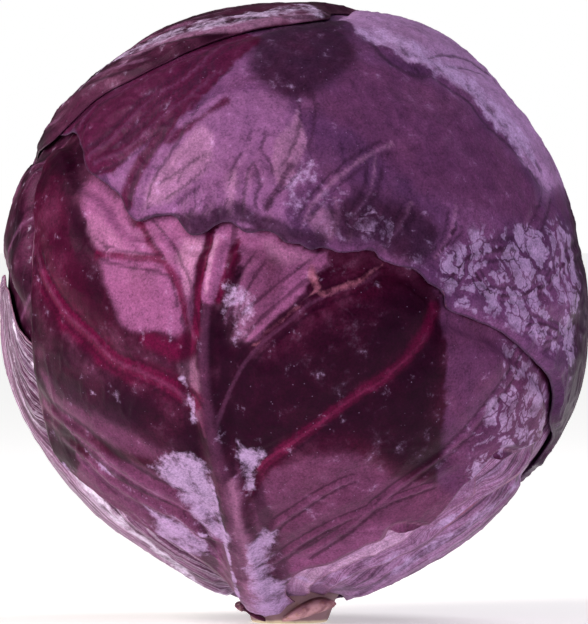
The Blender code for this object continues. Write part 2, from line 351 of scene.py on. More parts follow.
def borderLoop(rows, columns, start=0):
    # The grid's edge as one loop of points
    loop = list(range(columns - 1))
    loop += [r * columns + columns - 1 for r in range(rows - 1)]
    loop += [(rows - 1) * columns + c for c in range(columns - 1, 0, -1)]
    loop += [r * columns for r in range(rows - 1, 0, -1)]
    return [start + i for i in loop]


def isInside(ways, outline):
    # Whether each direction is in the outline, on the plane that touches the head at the outline's middle
    middle = unit(outline.mean(axis=0))
    side = unit(np.cross([0.0, 0.0, 1.0], middle))
    axes = np.stack([side, np.cross(middle, side)], axis=1)
    depth = ways @ middle
    x, y = ((ways @ axes) / np.maximum(depth, 0.05)[:, None]).T
    corners = (outline @ axes) / (outline @ middle)[:, None]
    inside = np.zeros(len(ways), bool)
    for (x0, y0), (x1, y1) in zip(corners, np.roll(corners, -1, axis=0)):
        between = (y0 > y) != (y1 > y)
        inside ^= between & (x < (x1 - x0) * (y - y0) / (y1 - y0 + 1e-12) + x0)
    return inside & (depth > 0.1)


paintKinds = ("blush", "sheen", "bloomed", "dark", "crimson", "purple", "mauve", "islands", "torn")


def markStrength(ways, wobble, width, strength, course, filled):
    # A stroke fades out to both sides of its line, and a filled mark fades over its width at its outline.
    # The wobble, in millimetres, makes both uneven
    if not filled:
        away = nearestDistance(ways, denseRoute(course, 1.2)[0]) + wobble * min(1.0, width / 4.0)
        return strength * (1.0 - smoothStep((away - 0.3 * width) / (0.9 * width)))
    outline = denseRoute(np.concatenate([course, course[:1]]), 1.2)[0]
    away = nearestDistance(ways, outline)
    inwards = np.where(isInside(ways, outline), away, -away) + wobble
    return strength * smoothStep(0.5 + inwards / width)


def leafShell(leaf, ways):
    # A closed sheet: fine outside, a rolled rim, and a coarser inside
    rows, columns = ways.shape[:2]
    radius, depth = pressedRadius(ways)
    radius = radius - leafMake["reliefRoom"]
    flatWays = ways.reshape(-1, 3)
    flatPlaces = flatWays * head["meanRadius"]
    margin = np.concatenate([ways[-1], ways[:, 0], ways[:, -1]])
    inFromEdge = nearestDistance(flatWays, margin).reshape(rows, columns)
    bare = 1.0 - smoothStep((depth - 0.6) / 0.4)  # 0 where other leaves lie over this one
    waves = fractal(flatPlaces, leafMake["curlWaves"], leaf["seed"] + 9, 2).reshape(rows, columns)
    curl = leaf["lift"] * np.exp(-((inFromEdge / leafMake["curlReach"]) ** 2)) * (0.75 + 0.5 * waves) * bare
    radius = radius + curl
    taper = smoothStep(inFromEdge / leafMake["rimTaper"])
    thickness = leafMake["rimThickness"] + (leafMake["thickness"] - leafMake["rimThickness"]) * taper
    step = leafMake["innerStep"]
    centre = head["centre"]
    outer = centre + ways * radius[..., None]
    rimLoop = borderLoop(rows, columns)
    rim = (centre + ways * (radius - leafMake["rimDepth"] * thickness)[..., None]).reshape(-1, 3)
    rim = rim[rimLoop]
    inner = (centre + ways * (radius - thickness)[..., None])[::step, ::step]
    innerRows, innerColumns = inner.shape[:2]
    count = rows * columns
    rimStart, innerStart = count, count + len(rimLoop)
    allPlaces = np.concatenate([outer.reshape(-1, 3), rim, inner.reshape(-1, 3)])
    faces = gridFaces(rows, columns)
    for i, here in enumerate(rimLoop):
        after = (i + 1) % len(rimLoop)
        faces.append((rimLoop[after], here, rimStart + i, rimStart + after))
    innerLoop = borderLoop(innerRows, innerColumns, innerStart)
    for i, here in enumerate(innerLoop):
        after = innerLoop[(i + 1) % len(innerLoop)]
        fine = [rimStart + (i * step + k) % len(rimLoop) for k in range(step + 1)]
        faces.append((*fine[::-1], here, after))
    faces += gridFaces(innerRows, innerColumns, innerStart, flip=True)

    # What the skin reads: acrossLeaf and alongLeaf are the leaf's own coordinates, roughly in millimetres
    fromFoot = nearestDistance(flatWays, ways[0])
    outside = {
        "outer": np.ones(count),
        "inFromEdge": inFromEdge.ravel(),
        "bare": bare.ravel(),
        "acrossLeaf": np.tile(np.linspace(-60.0, 60.0, columns), rows),
        "alongLeaf": np.repeat(np.linspace(0.0, 160.0, rows), columns),
        "foot": np.exp(-((fromFoot / leaf["footReach"]) ** 2)),
    }
    wobble = leafMake["paintWobble"] * fractal(flatPlaces, leafMake["paintWaves"], leaf["seed"] + 20, 4)
    for kind in paintKinds:
        clear = np.ones(count)
        for mark in leaf["paint"].get(kind, []):
            clear *= 1.0 - markStrength(flatWays, wobble, *mark)
        outside[kind] = 1.0 - clear
    blank = np.zeros(len(allPlaces) - count)
    attributes = {key: np.concatenate([values, blank]) for key, values in outside.items()}
    return meshObject(leaf["name"], allPlaces, faces, attributes)


# A vein's height by the distance from its middle, which is given as a share of four times the vein's width:
# it stands in a slight groove, below the ground on both sides
veinSection = [(0.0, 1.0), (0.12, 0.86), (0.25, 0.42), (0.37, 0.17), (0.5, 0.12), (0.68, 0.17), (1.0, 0.2)]
veinGround = 0.2

# How wide and high a side vein still is at its end, and the lengths over which it rises and fades out
sideVeins = {"endWidth": 0.7, "endHeight": 0.6, "fadeIn": 4.0, "fadeOut": 9.0}
# Twigs leave the side veins at this lean in degrees, and bend back or on
twigs = {
    "reach": (4.0, 11.0), "spacing": (5, 11), "lean": (38, 62), "bend": (-0.25, 0.45),
    "width": 0.9, "endWidth": 0.6, "height": 0.3, "tone": 0.1, "fadeIn": 0.8, "fadeOut": 3.0,
}
# For a leaf that doesn't say otherwise: where its rib ends, its colour, and how it fades at both ends
ribDefaults = {"to": 0.9, "tone": 0.2, "fadeIn": 5.0, "fadeOut": 20.0}


def veinNetwork(leaf):
    # All the leaf's veins as one mesh of edges, with width, height and colour strength at each point
    spots, edges, widths, heights, ranks, tones = [], [], [], [], [], []
    random = np.random.default_rng(leaf["seed"])

    def lay(ways, width, height, rank, tone, fadeIn, fadeOut):
        # One vein, with its width and height at both ends
        dense, length = denseRoute(ways, 0.9)
        count = len(dense)
        share = np.linspace(0.0, 1.0, count)
        radius = pressedRadius(dense)[0] - leafMake["reliefRoom"]
        start = len(spots)
        spots.extend(head["centre"] + dense * radius[:, None])
        edges.extend((start + i, start + i + 1) for i in range(count - 1))
        fade = smoothStep(share * length / fadeIn) * smoothStep((1.0 - share) * length / fadeOut)
        widths.extend(width[0] + (width[1] - width[0]) * share**0.7)
        heights.extend((height[0] + (height[1] - height[0]) * share**0.7) * fade)
        ranks.extend([rank] * count)
        tones.extend([tone] * count)
        return dense

    rib = {**ribDefaults, **leaf["rib"]}
    ribWays = unit(through(leaf["mid"], np.linspace(0.0, rib["to"], 40)))
    lay(ribWays, rib["width"], rib["height"], 0, rib["tone"], rib["fadeIn"], rib["fadeOut"])
    mains = []
    for ways, width, height, tone in leaf["veins"]:
        widthEnds = (width, width * sideVeins["endWidth"])
        heightEnds = (height, height * sideVeins["endHeight"])
        mains.append(lay(ways, widthEnds, heightEnds, 1, tone, sideVeins["fadeIn"], sideVeins["fadeOut"]))
    twigWidth = (twigs["width"], twigs["width"] * twigs["endWidth"])
    twigHeight = (twigs["height"], 0.0)
    for dense in mains:
        side = 1
        position = int(random.uniform(4, 9))
        while position < len(dense) - 6:
            here = dense[position]
            along = unit(dense[position + 2] - here)
            out = np.cross(here, along) * side
            reach = random.uniform(*twigs["reach"])
            lean = math.radians(random.uniform(*twigs["lean"]))
            bend = random.uniform(*twigs["bend"])
            steps = np.linspace(0.0, 1.0, 7)[:, None] * reach / head["meanRadius"]
            course = here + along * steps * math.cos(lean) + out * steps * math.sin(lean)
            course = unit(course + along * steps**2 * bend * head["meanRadius"] / reach)
            lay(course, twigWidth, twigHeight, 2, twigs["tone"], twigs["fadeIn"], twigs["fadeOut"])
            side = -side
            position += int(random.uniform(*twigs["spacing"]))
    mesh = bpy.data.meshes.new(leaf["name"] + "Veins")
    mesh.from_pydata((np.array(spots) * metre).tolist(), edges, [])
    setAttribute(mesh, "veinWidth", np.array(widths) * metre)
    setAttribute(mesh, "veinHeight", np.array(heights) * metre)
    setAttribute(mesh, "veinRank", ranks)
    setAttribute(mesh, "veinTone", tones)
    obj = bpy.data.objects.new(leaf["name"] + "Veins", mesh)
    bpy.context.scene.collection.objects.link(obj)
    return obj


def pressedLeafRelief():
    # Geometry Nodes: raises veins along their paths, pillows the blade between them and wrinkles it
    tree = bpy.data.node_groups.new("pressedLeafRelief", "GeometryNodeTree")
    sizes = ("Pillow Height", "Pillow Width", "Lump Height", "Lump Size", "Wrinkle Height", "Wrinkle Size",
             "Net Height", "Net Size", "Seed")
    sockets = {"Geometry": "Geometry", "Veins": "Object", "Head Centre": "Vector", "Skin": "Material"}
    sockets.update({name: "Float" for name in sizes})
    for name, kind in sockets.items():
        tree.interface.new_socket(name, in_out="INPUT", socket_type="NodeSocket" + kind)
    tree.interface.new_socket("Geometry", in_out="OUTPUT", socket_type="NodeSocketGeometry")
    given = addNode(tree, "NodeGroupInput").outputs
    place = addNode(tree, "GeometryNodeInputPosition")
    named = {
        name: addNode(tree, "GeometryNodeInputNamedAttribute", {"Name": name}, data_type="FLOAT").outputs[0]
        for name in ("veinRank", "veinWidth", "veinHeight", "veinTone", "inFromEdge", "bare", "outer")
    }
    paths = addNode(tree, "GeometryNodeObjectInfo", {"Object": given["Veins"]}).outputs["Geometry"]

    raised, onVein, inGroove, veinColour, mainAway = 0.0, 0.0, 0.0, 0.0, 1.0
    for rank in (0, 1, 2):  # the midrib, the side veins and the twigs
        part = paths
        for limit, test in ((rank - 0.5, "GREATER_THAN"), (rank + 0.5, "LESS_THAN")):
            wanted = addNode(tree, "FunctionNodeCompare", {0: named["veinRank"], 1: limit}, operation=test)
            part = addNode(tree, "GeometryNodeSeparateGeometry", {0: part, 1: wanted}, domain="POINT")
        away = addNode(tree, "GeometryNodeProximity", {0: part, 2: place}, target_element="EDGES")
        away = away.outputs["Distance"]
        nearest = addNode(tree, "GeometryNodeSampleNearest", {0: part, 1: place}, domain="POINT")
        width, height, tone = (
            addNode(tree, "GeometryNodeSampleIndex", {0: part, 1: named[key], 2: nearest}, data_type="FLOAT")
            for key in ("veinWidth", "veinHeight", "veinTone")
        )
        ratio = addNode(tree, "ShaderNodeMath", {0: away, 1: width}, operation="DIVIDE")
        quarter = addNode(tree, "ShaderNodeMath", {0: ratio, 1: 0.25}, operation="MULTIPLY")
        section = addNode(tree, "ShaderNodeFloatCurve", {1: quarter})
        curve = section.mapping.curves[0]
        curve.points[0].location, curve.points[-1].location = veinSection[0], veinSection[-1]
        for spot, rise in veinSection[1:-1]:
            curve.points.new(spot, rise)
        section.mapping.update()
        ground = addNode(tree, "ShaderNodeMath", {0: section, 1: veinGround}, operation="SUBTRACT")
        raised = addNode(tree, "ShaderNodeMath", {0: ground, 1: height, 2: raised}, operation="MULTIPLY_ADD")
        ridge = addNode(tree, "ShaderNodeMapRange", {0: ratio, 1: 1.1, 2: 0.1}, **smooth)
        fullness = addNode(tree, "ShaderNodeMapRange", {0: height, 1: 0.0, 2: 0.3 * metre})
        ridge = addNode(tree, "ShaderNodeMath", {0: ridge, 1: fullness}, operation="MULTIPLY")
        onVein = addNode(tree, "ShaderNodeMath", {0: onVein, 1: ridge}, operation="MAXIMUM")
        groove = addNode(tree, "ShaderNodeMapRange", {0: section, 1: veinGround, 2: 0.12}, **smooth)
        groove = addNode(tree, "ShaderNodeMath", {0: groove, 1: fullness}, operation="MULTIPLY")
        inGroove = addNode(tree, "ShaderNodeMath", {0: inGroove, 1: groove}, operation="MAXIMUM")
        coloured = addNode(tree, "ShaderNodeMath", {0: ridge, 1: tone}, operation="MULTIPLY")
        veinColour = addNode(tree, "ShaderNodeMath", {0: veinColour, 1: coloured}, operation="MAXIMUM")
        if rank < 2:
            mainAway = addNode(tree, "ShaderNodeMath", {0: mainAway, 1: away}, operation="MINIMUM")
    pillow = {0: mainAway, 2: given["Pillow Width"], 4: given["Pillow Height"]}
    pillow = addNode(tree, "ShaderNodeMapRange", pillow, **smooth)
    # The patterns start elsewhere on each leaf, and broad noise bends them by up to 7 mm
    shifted = addNode(tree, "ShaderNodeVectorMath", {0: place, 1: given["Seed"]}, operation="ADD")
    bends = addNode(tree, "ShaderNodeTexNoise", {"Vector": shifted, "Scale": 90.0, "Detail": 1.0})
    bend = {0: bends.outputs["Color"], "Scale": 7.0 * metre}
    bend = addNode(tree, "ShaderNodeVectorMath", bend, operation="SCALE")
    bent = addNode(tree, "ShaderNodeVectorMath", {0: shifted, 1: bend}, operation="ADD")
    reliefs = [raised, pillow]
    ridged = {"noise_type": "RIDGED_MULTIFRACTAL"}
    cellEdges = {"feature": "DISTANCE_TO_EDGE"}
    patterns = (
        ("Lump", "ShaderNodeTexNoise", {"Detail": 1.0}, {}, 0.25, 0.75),
        ("Wrinkle", "ShaderNodeTexNoise", {"Detail": 2.0, "Distortion": 0.6}, ridged, 0.5, 2.2),
        ("Net", "ShaderNodeTexVoronoi", {}, cellEdges, 0.14, 0.01),
    )
    for name, kind, values, settings, low, high in patterns:
        scale = addNode(tree, "ShaderNodeMath", {0: 1.0, 1: given[name + " Size"]}, operation="DIVIDE")
        pattern = addNode(tree, kind, {"Vector": bent, "Scale": scale, **values}, **settings)
        values = {0: pattern, 1: low, 2: high, 4: given[name + " Height"]}
        reliefs.append(addNode(tree, "ShaderNodeMapRange", values, **smooth))
    total = reliefs[0]
    for relief in reliefs[1:]:
        total = addNode(tree, "ShaderNodeMath", {0: total, 1: relief}, operation="ADD")
    # All relief fades out over the last 3 mm before the margin, and under other leaves
    fade = addNode(tree, "ShaderNodeMapRange", {0: named["inFromEdge"], 2: 3.0}, **smooth)
    for share in (fade, named["outer"], named["bare"]):
        total = addNode(tree, "ShaderNodeMath", {0: total, 1: share}, operation="MULTIPLY")
    centre = given["Head Centre"]
    outward = addNode(tree, "ShaderNodeVectorMath", {0: place, 1: centre}, operation="SUBTRACT")
    outward = addNode(tree, "ShaderNodeVectorMath", {0: outward}, operation="NORMALIZE")
    offset = addNode(tree, "ShaderNodeVectorMath", {0: outward, "Scale": total}, operation="SCALE")

    result = given["Geometry"]
    stored = (("flatPlace", place), ("onVein", onVein), ("inGroove", inGroove), ("veinColour", veinColour))
    for name, value in stored:
        result = addNode(
            tree, "GeometryNodeStoreNamedAttribute", {"Geometry": result, "Name": name, "Value": value},
            data_type="FLOAT_VECTOR" if name == "flatPlace" else "FLOAT", domain="POINT",
        )
    result = addNode(tree, "GeometryNodeSetPosition", {"Geometry": result, "Offset": offset})
    result = addNode(tree, "GeometryNodeRealizeInstances", {"Geometry": result})
    result = addNode(tree, "GeometryNodeSetMaterial", {"Geometry": result, "Material": given["Skin"]})
    addNode(tree, "NodeGroupOutput", {"Geometry": result})
    return tree


def keepOutside(mesh):
    # Nothing runs into the stalk's neck or through the floor
    places = np.empty(len(mesh.vertices) * 3)
    mesh.vertices.foreach_get("co", places)
    places = places.reshape(-1, 3) / metre
    fromStalk = np.hypot(places[:, 0], places[:, 1])
    close = (fromStalk < leafMake["neckClearance"]) & (places[:, 2] < head["centre"][2] / 2)
    places[close, :2] *= (leafMake["neckClearance"] / fromStalk[close])[:, None]
    places[:, 2] = np.maximum(places[:, 2], leafMake["floorClearance"])
    mesh.vertices.foreach_set("co", (places * metre).ravel())


def growRelief(obj, veins, tree, relief, skin, seed):
    # Runs the tree on the shell and keeps the result as a plain mesh
    modifier = obj.modifiers.new("relief", "NODES")
    modifier.node_group = tree
    inputs = [item for item in tree.interface.items_tree if item.in_out == "INPUT"]
    identifiers = {item.name: item.identifier for item in inputs}
    modifier[identifiers["Veins"]] = veins
    modifier[identifiers["Head Centre"]] = tuple(head["centre"] * metre)
    modifier[identifiers["Skin"]] = skin
    modifier[identifiers["Seed"]] = 0.037 * seed
    for name, value in relief.items():
        modifier[identifiers[name]] = value * metre
    depsgraph = bpy.context.evaluated_depsgraph_get()
    mesh = bpy.data.meshes.new_from_object(
        obj.evaluated_get(depsgraph), preserve_all_data_layers=True, depsgraph=depsgraph,
    )
    obj.modifiers.clear()
    keepOutside(mesh)
    shell = obj.data
    obj.data = mesh
    mesh.name = obj.name
    bpy.data.meshes.remove(shell)
    veinMesh = veins.data
    bpy.data.objects.remove(veins)
    bpy.data.meshes.remove(veinMesh)
    return obj


def stroke(width, strength, *pixels):
    # Paint along a line through the photo's pixels, its width in pixels too
    return width * view["mmPerPixel"], strength, seen(*pixels), False


def patch(softness, strength, *pixels, beyond=()):
    # Paint inside an outline of the photo's pixels, its edge this many pixels soft; it may go on past the
    # head's outline, to places given as longitude and latitude
    outline = route(seen(*pixels), around(*beyond)) if beyond else seen(*pixels)
    return softness * view["mmPerPixel"], strength, outline, True


def vein(width, height, tone, *pixels):
    # A side vein along the photo's pixels; its tone is how strongly it is coloured
    return seen(*pixels), width, height, tone


def pinnate(leaf, shares, advance, width, height, tone):
    # Side veins that leave the midrib at these shares of its length and run up towards both margins
    veins = []
    out = np.linspace(0.0, 0.92, 9)
    for share in shares:
        for margin in ("left", "right"):
            up = np.clip(share + advance * out, 0.0, 1.0)
            middle = through(leaf["mid"], up)
            edge = through(leaf[margin], up)
            veins.append((unit(middle + (edge - middle) * out[:, None]), width, height, tone))
    return veins


def lengthwise(leaf, courses, width, height, tone):
    # Side veins that run up the leaf, each from a place across its foot to one across its tip: -1 is the
    # left margin, 0 the midrib and 1 the right margin
    up = np.linspace(0.03, 0.95, 12)
    left, middle, right = (through(leaf[side], up) for side in ("left", "mid", "right"))
    veins = []
    for start, end in courses:
        across = (start + (end - start) * up)[:, None]
        ways = np.where(across > 0.0, middle + (right - middle) * across, middle - (left - middle) * across)
        veins.append((unit(ways), width, height, tone))
    return veins


def startSkin(name):
    # A new material with an empty tree
    material = bpy.data.materials.new(name)
    material.use_nodes = True
    material.node_tree.nodes.clear()
    return material, material.node_tree


def finishSkin(tree, skin, gloss, height, roughDepth, strength, shine):
    # Plant tissue: its colour, a fine roughness of this depth in millimetres and a weak shine
    values = {"Strength": strength, "Distance": roughDepth * metre, "Height": height}
    bump = addNode(tree, "ShaderNodeBump", values)
    values = {"Base Color": skin, "Roughness": gloss, "Normal": bump}
    shader = addNode(tree, "ShaderNodeBsdfPrincipled", values)
    shader.inputs["Specular IOR Level"].default_value = shine
    addNode(tree, "ShaderNodeOutputMaterial", {"Surface": shader})
    return shader


def leafSkin(name, colours, wax):
    # Red cabbage skin: purple pigment in its outer cells, crimson where the sap runs near the surface,
    # and a thin white wax on top that lies in patches and rubs off. Over these lie painted light and shade:
    # pink on lit planes, highlights on ridges, veins and outlines, and shade in grooves and folds, under
    # margins and on the side turned from the light
    skinMaterial, tree = startSkin(name)
    place = addNode(tree, "ShaderNodeAttribute", attribute_name="flatPlace").outputs["Vector"]
    place = addNode(tree, "ShaderNodeVectorMath", {0: place, "Scale": 1.0 / metre}, operation="SCALE")
    stored = ("foot", "veinColour", "onVein", "inGroove", "inFromEdge", "acrossLeaf", "alongLeaf")
    painted = {
        kind: addNode(tree, "ShaderNodeAttribute", attribute_name=kind).outputs["Fac"]
        for kind in (*paintKinds, *stored)
    }
    # Noise from broad clouds down to the skin's own grain, that breaks up the pigment, the wax and the
    # painted
    # light and shade: the size in millimetres, the detail and its roughness
    patternSizes = {
        "cloud": (26.0, 3.0, 0.5),
        "drift": (13.0, 4.0, 0.6),
        "blotch": (7.0, 5.0, 0.6),
        "wax": (4.2, 8.0, 0.68),
        "grain": (0.6, 2.0, 0.7),
    }
    patterns = {}
    for key, (size, fine, rough) in patternSizes.items():
        values = {"Vector": place, "Scale": 1.0 / size, "Detail": fine, "Roughness": rough}
        patterns[key] = addNode(tree, "ShaderNodeTexNoise", values)
    # Wax between a leaf's pleats: streaks about 1.3 mm wide that run for 45 mm along the leaf; where the
    # streaks thin out, darker lines paint the shade in the pleats' folds
    flow = addNode(tree, "ShaderNodeCombineXYZ", {0: painted["acrossLeaf"], 1: painted["alongLeaf"]})
    flow = addNode(tree, "ShaderNodeVectorMath", {0: flow, 1: (0.75, 0.022, 0.0)}, operation="MULTIPLY")
    values = {"Vector": flow, "Scale": 1.0, "Detail": 4.0, "Roughness": 0.6}
    streak = addNode(tree, "ShaderNodeTexNoise", values)
    patterns["streak"] = streak
    patterns["pleat"] = addNode(tree, "ShaderNodeMath", {0: 1.0, 1: streak}, operation="SUBTRACT")
    painted["streaked"] = wax.get("streaks", 0.0)
    # Islands of wax, 13 mm and 5 mm across, with bare lines between them
    bend = patterns["drift"].outputs["Color"]
    bent = addNode(tree, "ShaderNodeVectorMath", {0: bend, "Scale": 16.0}, operation="SCALE")
    bent = addNode(tree, "ShaderNodeVectorMath", {0: bent, 1: place}, operation="ADD")
    for size, line, least in ((13.0, 0.1, 0.0), (5.0, 0.09, 0.5)):
        spots = {"Vector": bent, "Scale": 1 / size}
        cells = addNode(tree, "ShaderNodeTexVoronoi", spots, feature="DISTANCE_TO_EDGE")
        cells = addNode(tree, "ShaderNodeMapRange", {0: cells, 1: 0.01, 2: line, 3: least}, **smooth)
        cells = addNode(tree, "ShaderNodeMath", {0: cells, 1: painted["islands"]}, operation="MULTIPLY")
        painted["islands"] = cells
    painted["rim"] = addNode(tree, "ShaderNodeMapRange", {0: painted["inFromEdge"], 1: 0.9, 2: 0.2})
    dots = addNode(tree, "ShaderNodeTexVoronoi", {"Vector": place, "Scale": 1 / 2.3})
    painted["dots"] = addNode(tree, "ShaderNodeMapRange", {0: dots, 1: 0.09, 2: 0.04})
    # Wax patches, and highlights painted in the wax colour along outlines, edges and ridges
    values = {0: painted["bloomed"], 1: wax["painted"], 2: wax["base"]}
    painted["waxAndHighlights"] = addNode(tree, "ShaderNodeMath", values, operation="MULTIPLY_ADD")
    painted["haze"] = addNode(tree, "ShaderNodeMath", {0: patterns["cloud"], 1: 0.5}, operation="MULTIPLY")
    tone = addNode(tree, "ShaderNodeMapRange", {0: patterns["cloud"], 1: 0.36, 2: 0.64}, **smooth)
    pigment = {6: hexColour(colours["deep"]), 7: hexColour(colours["main"])}
    skin = addNode(tree, "ShaderNodeMix", {0: tone, **pigment}, data_type="RGBA")
    # Each layer: its colour, where it is painted, the pattern that breaks it up and how much, the sums of
    # both at which it starts and is full, and its strength
    layers = (
        ("purple", "purple", "blotch", 0.6, 0.3, 1.15, 0.9),
        # Mauve; on the cap it is painted light on the strip lit from above and behind
        ("mauve", "mauve", "blotch", 0.6, 0.3, 1.2, 0.9),
        # Painted light on planes and ridges that face the lamps
        ("blush", "blush", "drift", 1.1, 0.45, 1.6, 0.95),
        # Painted highlights
        ("sheen", "sheen", "drift", 0.9, 0.4, 1.5, 0.8),
        # Darker patches of the blade, and painted shade
        ("dark", "dark", "drift", 0.9, 0.4, 1.4, 0.9),
        # Crimson pigment, and painted shadow in folds, beside the rib and under the cap's margin
        ("crimson", "crimson", "drift", 0.9, 0.3, 1.25, 0.9),
        ("pale", "foot", "blotch", 0.4, 0.5, 1.2, 0.75),
        # Painted shade in the grooves beside the veins
        ("dark", "inGroove", "blotch", 0.8, 0.5, 1.5, 0.6),
        # Painted light on the veins' raised ridges
        ("blush", "onVein", "blotch", 0.8, 0.6, 1.6, 0.2),
        ("vein", "veinColour", "blotch", 0.3, 0.35, 1.0, 0.85),
        # Darker lines along the pleats, painted as the shade in their folds
        ("dark", "streaked", "pleat", 1.0, 0.96, 1.14, 0.6),
        ("bloom", "streaked", "streak", 1.0, 0.96, 1.26, 0.7),
        ("bloom", "haze", "wax", 1.0, 0.8, 1.15, 0.15),
        ("bloom", "islands", "wax", 1.6, 1.15, 1.85, 0.7),
        # Wax patches, and painted highlights
        ("bloom", "waxAndHighlights", "wax", 1.0, 0.58, 0.84, 0.8),
        ("bloom", "dots", "blotch", 0.1, 0.2, 0.9, 0.3),
        ("rim", "rim", "blotch", 0.6, 0.6, 1.1, 0.6),
        ("torn", "torn", "wax", 1.6, 1.05, 1.7, 0.75),
    )
    masks = {}
    for colour, kind, pattern, share, low, high, strength in layers:
        values = {0: patterns[pattern], 1: share, 2: painted[kind]}
        value = addNode(tree, "ShaderNodeMath", values, operation="MULTIPLY_ADD")
        masks[kind] = addNode(tree, "ShaderNodeMapRange", {0: value, 1: low, 2: high, 4: strength}, **smooth)
        blended = {0: masks[kind], 6: skin, 7: hexColour(colours[colour])}
        skin = addNode(tree, "ShaderNodeMix", blended, data_type="RGBA")
    mottle = addNode(tree, "ShaderNodeMath", {0: patterns["grain"], 1: patterns["wax"]}, operation="ADD")
    mottle = addNode(tree, "ShaderNodeMapRange", {0: mottle, 1: 0.7, 2: 1.3, 3: 0.55, 4: 1.45})
    skin = addNode(tree, "ShaderNodeVectorMath", {0: skin, "Scale": mottle}, operation="SCALE")
    gloss = addNode(tree, "ShaderNodeMapRange", {0: masks["waxAndHighlights"], 2: 0.5, 3: 0.4, 4: 0.6})
    values = {0: masks["waxAndHighlights"], 1: 0.5, 2: patterns["grain"]}
    height = addNode(tree, "ShaderNodeMath", values, operation="MULTIPLY_ADD")
    shader = finishSkin(tree, skin, gloss, height, 0.12, 0.5, 0.12)
    shader.inputs["Specular Tint"].default_value = hexColour("#e6b4dc")
    return skinMaterial


skinColours = {
    "deep": "#220216",
    "main": "#380620",
    # Painted light: the pink of lit planes and ridges
    "blush": "#8c4f7c",
    # Painted highlight colour
    "sheen": "#b57ea4",
    # The blade's darker colour, also used for painted shade
    "dark": "#1c0214",
    # Crimson of the sap, also used for painted shadow
    "crimson": "#54062e",
    "vein": "#720a3a",
    # Mauve, also used for painted light
    "mauve": "#643455",
    "pale": "#a77fa8",
    # Wax colour, also used for painted highlights
    "bloom": "#b092bd",
    "purple": "#5d3258",
    "rim": "#8a5f78",
    "torn": "#8c5066",
}

# For a leaf that doesn't say otherwise: its grid, how far its paler foot reaches, and its own changes
leafDefaults = {"rows": 150, "columns": 60, "footReach": 15.0, "colours": {}, "relief": {}}

crownLeaf = {
    "name": "crownLeaf",
    "replaces": "crown_leaf",
    "seed": 3,
    "rows": 258,
    "columns": 108,
    "ragged": (0.3, 0.25, 0.0),
    "lift": -0.7,
    "footReach": 14.0,
    "left": around((-162, -80), (-164, -50), (-170, -20), (180, 8), (158, 32), (135, 52), (115, 68)),
    "mid": around((-134, -80), (-132, -45), (-125, -5), (-115, 35), (-85, 60), (-35, 75), (70, 80)),
    "right": route(
        around((-106, -80), (-104, -50), (-106, -20), (-105, 8), (-98, 27)),
        seen((53, 132), (95, 92), (134, 71), (172, 52), (210, 36), (268, 21), (300, 16), (328, 13)),
        around((38, 79)),
    ),
    "rib": {"width": (3.4, 1.2), "height": (2.0, 0.6), "tone": 0.6, "fadeIn": 6.0},
    "paint": {
        # Painted highlights along the crown's outline, in the wax colour
        "bloomed": [
            stroke(6, 0.9, (66, 104), (96, 74), (130, 50)),
            stroke(28, 0.75, (130, 50), (190, 27), (250, 13), (310, 8)),
        ],
        # Painted light along the crown's outline
        "blush": [stroke(12, 0.9, (130, 56), (170, 38), (230, 24), (310, 14))],
    },
    "colours": {
        "deep": "#260a1c", "main": "#451a34", "blush": "#8a5f80", "bloom": "#b7a1c3", "vein": "#7d4d72",
        "rim": "#3c1730",
    },
    "wax": {"base": -0.02, "painted": 0.3, "streaks": 0.32},
}
crownLeaf["veins"] = pinnate(crownLeaf, (0.06, 0.14, 0.24, 0.35, 0.46, 0.57, 0.68, 0.8), 0.24, 2.6, 0.9, 0.5)

